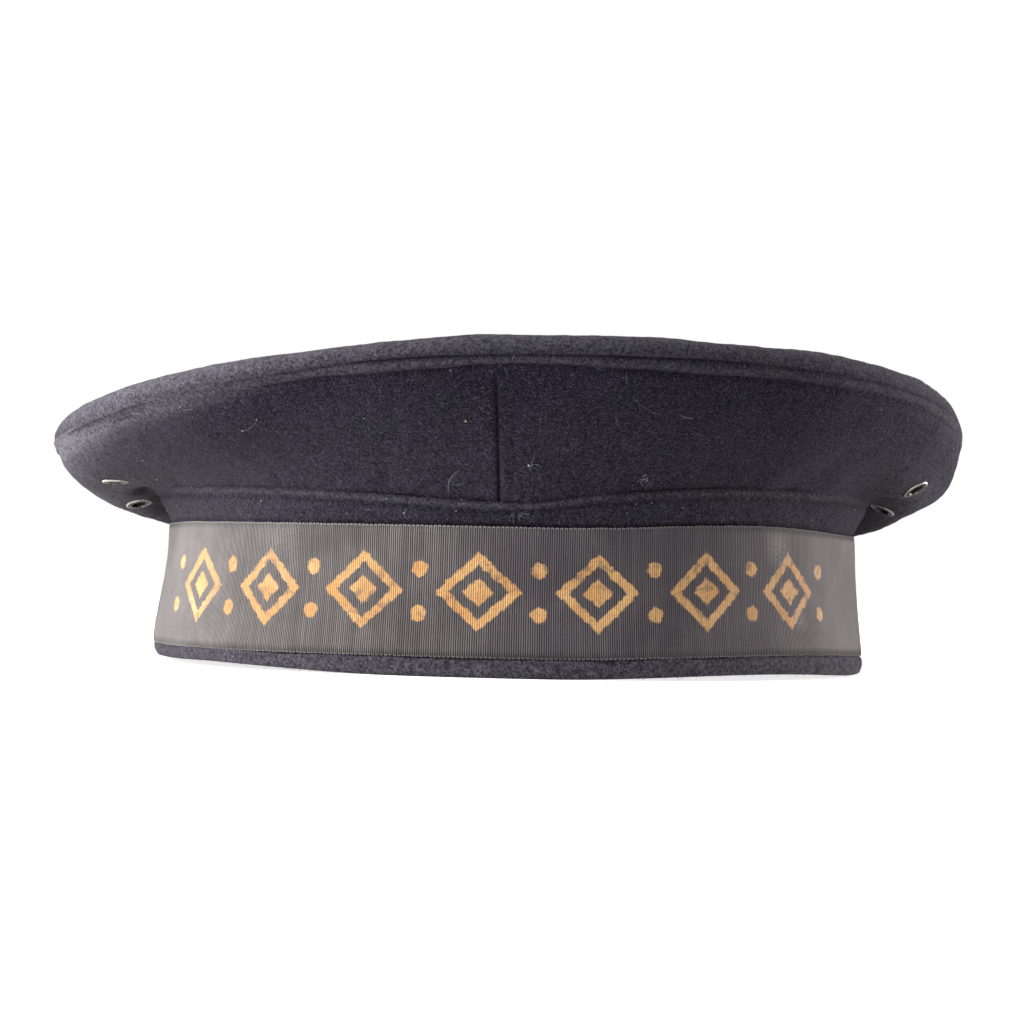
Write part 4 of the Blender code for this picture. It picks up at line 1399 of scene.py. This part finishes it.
def grow_nap(name, patches, seed):
    """Short bent hairs over cloth, merged in one piece: (points, count, closed) patches."""
    rng = np.random.default_rng(seed)
    grown = [nap_roots(points, count, rng, closed) for points, count, closed in patches]
    root, normal = (np.concatenate(part) for part in zip(*grown))
    count = len(root)
    side = unit(np.cross(normal, rng.normal(size=(count, 3))))
    ahead = np.cross(side, normal)
    length = rng.uniform(*NAP_LENGTHS, (count, 1)) * rng.uniform(*NAP_SPREAD, (count, 1)) * MM
    rise = rng.uniform(*NAP_RISES, (count, 1))
    bend = rng.normal(0, NAP_BEND, (count, 1))
    width = rng.uniform(*NAP_WIDTHS, (count, 1)) * MM
    up = normal * length * 0.5 * rise
    middle = root + ahead * length * 0.5 + up
    turned = ahead * np.cos(bend) + side * np.sin(bend)
    tip = middle + turned * length * 0.5 + up * rng.uniform(*NAP_TIP_RISES, (count, 1))
    start = root - normal * NAP_ROOT * MM
    points = np.stack([start, middle + side * width, tip, middle - side * width], axis=1)
    points[..., 2] = np.maximum(points[..., 2], 0.0)
    order = np.arange(count)[:, None] * 4
    faces = np.concatenate([order + [0, 1, 3], order + [1, 2, 3]]).tolist()
    made = new_mesh(name, points, faces, NAP, smooth_faces=False)
    keep(made, "shade", np.repeat(rng.random(count) ** 1.6, 4))
    return dress(made, "wool")


# ---------------------------------------------------------------- camera
LENS_PIXELS = 3750.0
PICTURE = 1024
CAMERA_PLACE = Vector((0.0006, -1.0, 0.031))
CAMERA_PITCH = radians(0.58)
CAMERA_ROLL = radians(1.3)


def camera_axes():
    ahead = Vector((0.0, cos(CAMERA_PITCH), sin(CAMERA_PITCH)))
    level_up = Vector((0.0, -sin(CAMERA_PITCH), cos(CAMERA_PITCH)))
    level_right = Vector((1.0, 0.0, 0.0))
    right = level_right * cos(CAMERA_ROLL) + level_up * sin(CAMERA_ROLL)
    up = level_up * cos(CAMERA_ROLL) - level_right * sin(CAMERA_ROLL)
    return right, up, ahead


def build_camera():
    right, up, ahead = camera_axes()
    data = bpy.data.cameras.new("camera")
    data.sensor_width = 36.0
    data.lens = LENS_PIXELS * data.sensor_width / PICTURE
    data.clip_start = 0.01
    data.clip_end = 100.0
    camera = link("camera", data)
    turn = Matrix((right, up, -ahead)).transposed().to_4x4()
    camera.matrix_world = Matrix.Translation(CAMERA_PLACE) @ turn
    bpy.context.scene.camera = camera


# ---------------------------------------------------------------- lint
THREAD_STEPS = 12
LOOSE_HAIRS = 620
LOOSE_SPECKS = 240
HAIR_WIDTH = 0.06             # mm
LOOSE_HAIR_WIDTH = 0.05
LOOSE_HAIR_LENGTHS = (1.2, 5.0)
LOOSE_CURLS = (0.1, 0.5)
SPECK_SIZES = (0.08, 0.2)
PALE_SPECKS = 0.15            # share of the loose specks that are palest
THREAD_HEIGHT = 0.2
LINT_SEED = 77
CROWN_LINT = 0.28             # share of the loose lint on each face of the crown
BAND_LINT = 0.08


def pixel_ray(x, y):
    """Direction from the camera through a pixel of the picture."""
    right, up, ahead = camera_axes()
    half = PICTURE / 2
    way = ahead + right * ((x - half) / LENS_PIXELS) - up * ((y - half) / LENS_PIXELS)
    return way.normalized()


def seen_at(tree, x, y):
    """Cloth that the camera sees at a pixel: its place, its normal, the way of looking."""
    way = pixel_ray(x, y)
    found, normal, _, _ = tree.ray_cast(CAMERA_PLACE, way)
    if found is not None and normal.dot(way) > 0:
        normal = -normal
    return found, normal, way


def cloth_tree(objects):
    points = []
    faces = []
    for made in objects:
        first = len(points)
        points.extend(vertex.co.copy() for vertex in made.data.vertices)
        faces.extend([first + index for index in face.vertices] for face in made.data.polygons)
    return BVHTree.FromPolygons(points, faces)


def strand(rows, shade):
    """A narrow strip through rows of (place, sideways direction, width in mm)."""
    points = []
    for middle, side, width in rows:
        points.append(tuple(middle + side * (width / 2) * MM))
        points.append(tuple(middle - side * (width / 2) * MM))
    faces = [(2 * k, 2 * k + 1, 2 * k + 3, 2 * k + 2) for k in range(len(rows) - 1)]
    return points, faces, shade


def thinned(index, count, share):
    """Width left at a step of a strand that thins by a share towards both its ends."""
    return 1 - share * abs(2 * index / (count - 1) - 1)


def lint_hair(tree, start, normal, length, curl, width, shade, rng):
    """One curly hair that lies along the cloth."""
    steps = max(6, int(length / 0.5))
    way = normal.cross(Vector(rng.normal(size=3))).normalized()
    spot = start.copy()
    turn = 0.0
    rows = []
    for index in range(steps):
        found, facing, _, _ = tree.find_nearest(spot)
        if facing.dot(normal) < 0:
            facing = -facing
        hover = 0.12 + 0.35 * abs(sin(index * 0.55 + length))
        on = found + facing * hover * MM
        side = facing.cross(way).normalized()
        rows.append((on, side, width * thinned(index, steps, 0.6)))
        turn = 0.75 * turn + rng.normal(0, curl)
        way = (way + side * turn).normalized()
        way = (way - facing * way.dot(facing)).normalized()
        spot = on + way * (length / steps) * MM
    return strand(rows, shade)


def lint_thread(tree, x0, y0, x1, y1, bow, width, shade):
    """One thin thread that lies on the cloth along a bowed line in the picture."""
    seen = []
    away = Vector((-(y1 - y0), x1 - x0)).normalized() * bow
    for index in range(THREAD_STEPS):
        share = index / (THREAD_STEPS - 1)
        bent = 4 * share * (1 - share)
        found, normal, _ = seen_at(tree, x0 + (x1 - x0) * share + away.x * bent,
                                   y0 + (y1 - y0) * share + away.y * bent)
        if found is not None:
            seen.append((found, normal))
    rows = []
    for index, (found, normal) in enumerate(seen):
        before = seen[max(index - 1, 0)][0]
        after = seen[min(index + 1, len(seen) - 1)][0]
        rows.append((found + normal * THREAD_HEIGHT * MM, normal.cross(after - before).normalized(),
                     width * thinned(index, len(seen), 0.5)))
    return strand(rows, shade)


def speck(middle, radius, shade, rng):
    """A small uneven crumb: an octahedron with moved corners."""
    ways = ((1, 0, 0), (0, 1, 0), (-1, 0, 0), (0, -1, 0), (0, 0, 1), (0, 0, -1))
    points = [tuple(middle + Vector(way) * radius * rng.uniform(0.6, 1.2) * MM) for way in ways]
    faces = [(k, (k + 1) % 4, 4) for k in range(4)] + [((k + 1) % 4, k, 5) for k in range(4)]
    return points, faces, shade


# picture x, y, hairs in the tuft, spread (pixels), length (mm), curl, shade
LINT_TUFTS = (
    (322, 470, 2, 1.5, 3.0, 0.4, 0.30),
    (411, 378, 3, 2.0, 2.4, 0.4, 0.35),
    (452, 484, 2, 1.5, 3.6, 0.3, 0.45),
    (461, 504, 4, 1.5, 2.0, 0.5, 0.55),
    (406, 516, 2, 2.0, 1.8, 0.5, 0.50),
    (520, 514, 6, 2.2, 2.4, 0.5, 0.60),
    (529, 466, 5, 1.2, 1.6, 0.5, 0.66),
    (549, 339, 3, 2.0, 2.2, 0.5, 0.30),
    (512, 357, 2, 1.2, 1.8, 0.5, 0.50),
    (478, 671, 6, 1.8, 2.4, 0.5, 0.66),
    (646, 481, 6, 1.6, 1.2, 0.6, 0.60),
    (622, 668, 5, 4.0, 2.0, 0.5, 0.70),
    (170, 500, 2, 2.0, 2.2, 0.5, 0.40),
    (66, 457, 4, 1.5, 1.6, 0.4, 0.60),
    (540, 420, 2, 2.0, 2.4, 0.5, 0.25),
    (500, 440, 3, 3.0, 2.4, 0.6, 0.25),
)
# picture x, y at both ends, bow (pixels), width (mm), shade
LINT_THREADS = (
    (125, 406, 141, 413, 3.0, 0.10, 0.80),
    (130, 492, 153, 482, -7.0, 0.06, 0.34),
    (243, 431, 257, 420, 2.0, 0.06, 0.50),
    (181, 408, 193, 408, 1.5, 0.06, 0.55),
    (632, 396, 668, 416, 4.0, 0.06, 0.30),
    (680, 415, 694, 418, 1.0, 0.07, 0.92),
    (627, 372, 629, 385, 2.0, 0.08, 0.34),
    (530, 665, 543, 672, 2.0, 0.08, 0.60),
    (529, 466, 542, 467, -2.5, 0.06, 0.45),
    (530, 464, 534, 455, 1.0, 0.06, 0.36),
    (449, 492, 460, 470, -5.0, 0.09, 0.48),
    (148, 502, 164, 502, 1.0, 0.05, 0.60),
    (616, 412, 620, 428, 1.5, 0.08, 0.26),
    (590, 360, 606, 370, 3.0, 0.06, 0.28),
)
# picture x, y, crumbs, spread (pixels), radius (mm), shade
LINT_CRUMBS = (
    (242.6, 430.7, 1, 0, 0.30, 0.80),
    (256.6, 419.5, 1, 0, 0.20, 0.95),
    (364, 418.5, 1, 0, 0.20, 0.80),
    (465.5, 421.5, 1, 0, 0.34, 1.0),
    (450.4, 370, 1, 0, 0.22, 0.92),
    (528.5, 465.7, 1, 0, 0.36, 0.80),
    (180, 406.8, 1, 0, 0.24, 0.80),
    (157, 479.5, 1, 0, 0.30, 0.93),
    (142.5, 460.5, 1, 0, 0.22, 0.80),
    (261, 501, 1, 0, 0.24, 0.95),
    (643, 480, 16, 3.4, 0.13, 0.88),
    (646, 476, 8, 7.0, 0.10, 0.85),
    (627, 513, 1, 0, 0.20, 0.88),
    (636, 504, 1, 0, 0.18, 0.85),
    (652, 503, 1, 0, 0.18, 0.85),
    (881.5, 410, 1, 0, 0.18, 0.80),
    (855, 510, 1, 0, 0.22, 0.80),
    (404, 513, 1, 0, 0.20, 0.80),
    (456, 511, 1, 0, 0.20, 0.75),
)


def placed_lint(tree, rng):
    """Tufts, threads and crumbs at places chosen in the picture."""
    for x, y, tuft, spread, length, curl, shade in LINT_TUFTS:
        for _ in range(tuft):
            found, normal, _ = seen_at(tree, x + rng.normal(0, spread), y + rng.normal(0, spread))
            if found is not None:
                long = length * rng.uniform(0.6, 1.2)
                pale = shade * rng.uniform(0.7, 1.05)
                yield lint_hair(tree, found, normal, long, curl, HAIR_WIDTH, pale, rng)
    for row in LINT_THREADS:
        yield lint_thread(tree, *row)
    for x, y, crumbs, spread, radius, shade in LINT_CRUMBS:
        for _ in range(crumbs):
            found, _, way = seen_at(tree, x + rng.normal() * spread,
                                    y + rng.normal() * spread)
            if found is not None:
                yield speck(found - way * radius * 0.5 * MM, radius, shade, rng)


def loose_lint(tree, surfaces, rng):
    """Hairs and specks scattered over each surface, by its share of them."""
    for surface, share in surfaces:
        for root, normal in zip(*nap_roots(surface, round(LOOSE_HAIRS * share), rng)):
            length = rng.uniform(*LOOSE_HAIR_LENGTHS)
            curl = rng.uniform(*LOOSE_CURLS)
            shade = rng.uniform(0.15, 0.72) ** 1.2
            yield lint_hair(tree, Vector(root), Vector(normal), length, curl, LOOSE_HAIR_WIDTH,
                            shade, rng)
        for root, normal in zip(*nap_roots(surface, round(LOOSE_SPECKS * share), rng)):
            shade = 0.95 if rng.random() < PALE_SPECKS else rng.uniform(0.3, 0.85)
            yield speck(Vector(root + normal * 0.1 * MM), rng.uniform(*SPECK_SIZES), shade, rng)


def gather_lint(name, tree, surfaces):
    """All lint in one piece."""
    rng = np.random.default_rng(LINT_SEED)
    points = []
    faces = []
    shades = []
    for part in (placed_lint(tree, rng), loose_lint(tree, surfaces, rng)):
        for some_points, some_faces, shade in part:
            faces.extend([len(points) + index for index in face] for face in some_faces)
            points.extend(some_points)
            shades.extend([shade] * len(some_points))
    points = np.array(points)
    points[:, 2] = np.maximum(points[:, 2], 0.0)
    made = new_mesh(name, points, faces, LINT)
    keep(made, "shade", shades)
    return dress(made, None)


# ---------------------------------------------------------------- stage
# The floor glows more the farther it is from the cap, so that it ends as white as the backdrop.
FLOOR_GLOW_NEAR = 0.80
FLOOR_GLOW_FAR = 1.0
GLOW_FROM = 0.16              # distances from the cap's middle (m)
GLOW_TO = 0.55
GLOW_ON_CAP = 0.04            # share of the glow that lights the cap
FLOOR_RADIUS = 60.0
WHITE = (1.0, 1.0, 1.0, 1.0)


def build_stage():
    look = Look("pale_floor", 0.9, specular=0.1)
    look.set("Base Color", look.where.noise(3.0).mix((0.86, 0.86, 0.86), (0.88, 0.88, 0.88)))
    away = look.where.moved("LENGTH", output="Value")
    glow = away.ramp(GLOW_FROM, GLOW_TO, FLOOR_GLOW_NEAR, FLOOR_GLOW_FAR)
    seen = add(look.tree, "ShaderNodeLightPath", output="Is Camera Ray")
    look.set("Emission Color", WHITE)
    look.set("Emission Strength", glow * seen.ramp(0.0, 1.0, GLOW_ON_CAP, 1.0))
    mesh = bpy.data.meshes.new("floor")
    work = bmesh.new()
    bmesh.ops.create_circle(work, cap_ends=True, segments=96, radius=FLOOR_RADIUS)
    work.to_mesh(mesh)
    work.free()
    mesh.materials.append(look.made)
    link("floor", mesh)


# name, place (m), width (m), power (W), colour; each points at the cap
LIGHTS = (
    ("left_low", (-1.7, -0.2, 0.5), 1.0, 22.0, (1.0, 0.985, 0.97)),
    ("key", (-1.4, -1.0, 1.2), 1.2, 31.5, (1.0, 0.99, 0.98)),
    ("front", (-0.5, -1.7, 1.4), 1.2, 14.5, (1.0, 1.0, 1.0)),
    ("right_back", (1.3, 1.1, 0.7), 1.0, 6.0, (1.0, 0.92, 0.95)),
    ("left_edge", (-1.6, 0.8, 0.12), 0.8, 38.0, (1.0, 0.99, 0.98)),
    ("right_edge", (1.6, 0.8, 0.12), 0.8, 43.0, (1.0, 0.92, 0.94)),
)
AIM = (0.0, 0.0, 0.04)
WORLD_LIGHT = 0.02            # how brightly the white surroundings light the cap


def build_light(name, spot, size, watts, colour):
    data = bpy.data.lights.new(name, "AREA")
    data.shape = "DISK"
    data.size = size
    data.energy = watts
    data.color = colour
    light = link(name, data)
    light.location = spot
    light.rotation_mode = "QUATERNION"
    light.rotation_quaternion = (Vector(AIM) - Vector(spot)).to_track_quat("-Z", "Y")
    light.visible_camera = False


def build_world():
    world = bpy.data.worlds.new("studio")
    bpy.context.scene.world = world
    world.use_nodes = True
    tree = world.node_tree
    tree.nodes.clear()
    seen = add(tree, "ShaderNodeLightPath", output="Is Camera Ray")
    strength = add(tree, "ShaderNodeMapRange",
                   {"Value": seen, "To Min": WORLD_LIGHT, "To Max": 1.0})
    glow = add(tree, "ShaderNodeBackground", {"Color": WHITE, "Strength": strength})
    add(tree, "ShaderNodeOutputWorld", {"Surface": glow})


# ---------------------------------------------------------------- build
build_camera()
right_side, right_face = build_side("crown_side_right", "side_panel_right", FRONT_SEAM, 180)
left_side, left_face = build_side("crown_side_left", "side_panel_left", 180, FRONT_SEAM + 360)
crown_top, top_face = build_top("crown_top", "top_panel")
band, band_high, band_low = build_band("headband", "band")
build_ribbon("grosgrain_ribbon", "tally_ribbon")
for eyelet in EYELETS:
    build_vent(eyelet[0] + "_worn", eyelet)
sew("rim_stitches", *rim_stitch_line())
sew("band_stitches", *band_stitch_line())
grow_nap("nap_sides", ((right_face, SIDE_HAIRS, False), (left_face, SIDE_HAIRS, False)), 101)
grow_nap("nap_top", ((top_face, TOP_HAIRS, True),), 102)
grow_nap("nap_band", ((band_high, STRIP_HAIRS, True), (band_low, EDGE_HAIRS, True)), 103)
lint_surfaces = [(face, CROWN_LINT) for face in (right_face, left_face, top_face)]
lint_surfaces += [(band_high, BAND_LINT), (band_low, BAND_LINT)]
gather_lint("lint", cloth_tree((right_side, left_side, crown_top, band)), lint_surfaces)

build_stage()
build_world()
for light in LIGHTS:
    build_light(*light)
bpy.context.scene.view_settings.view_transform = "Standard"
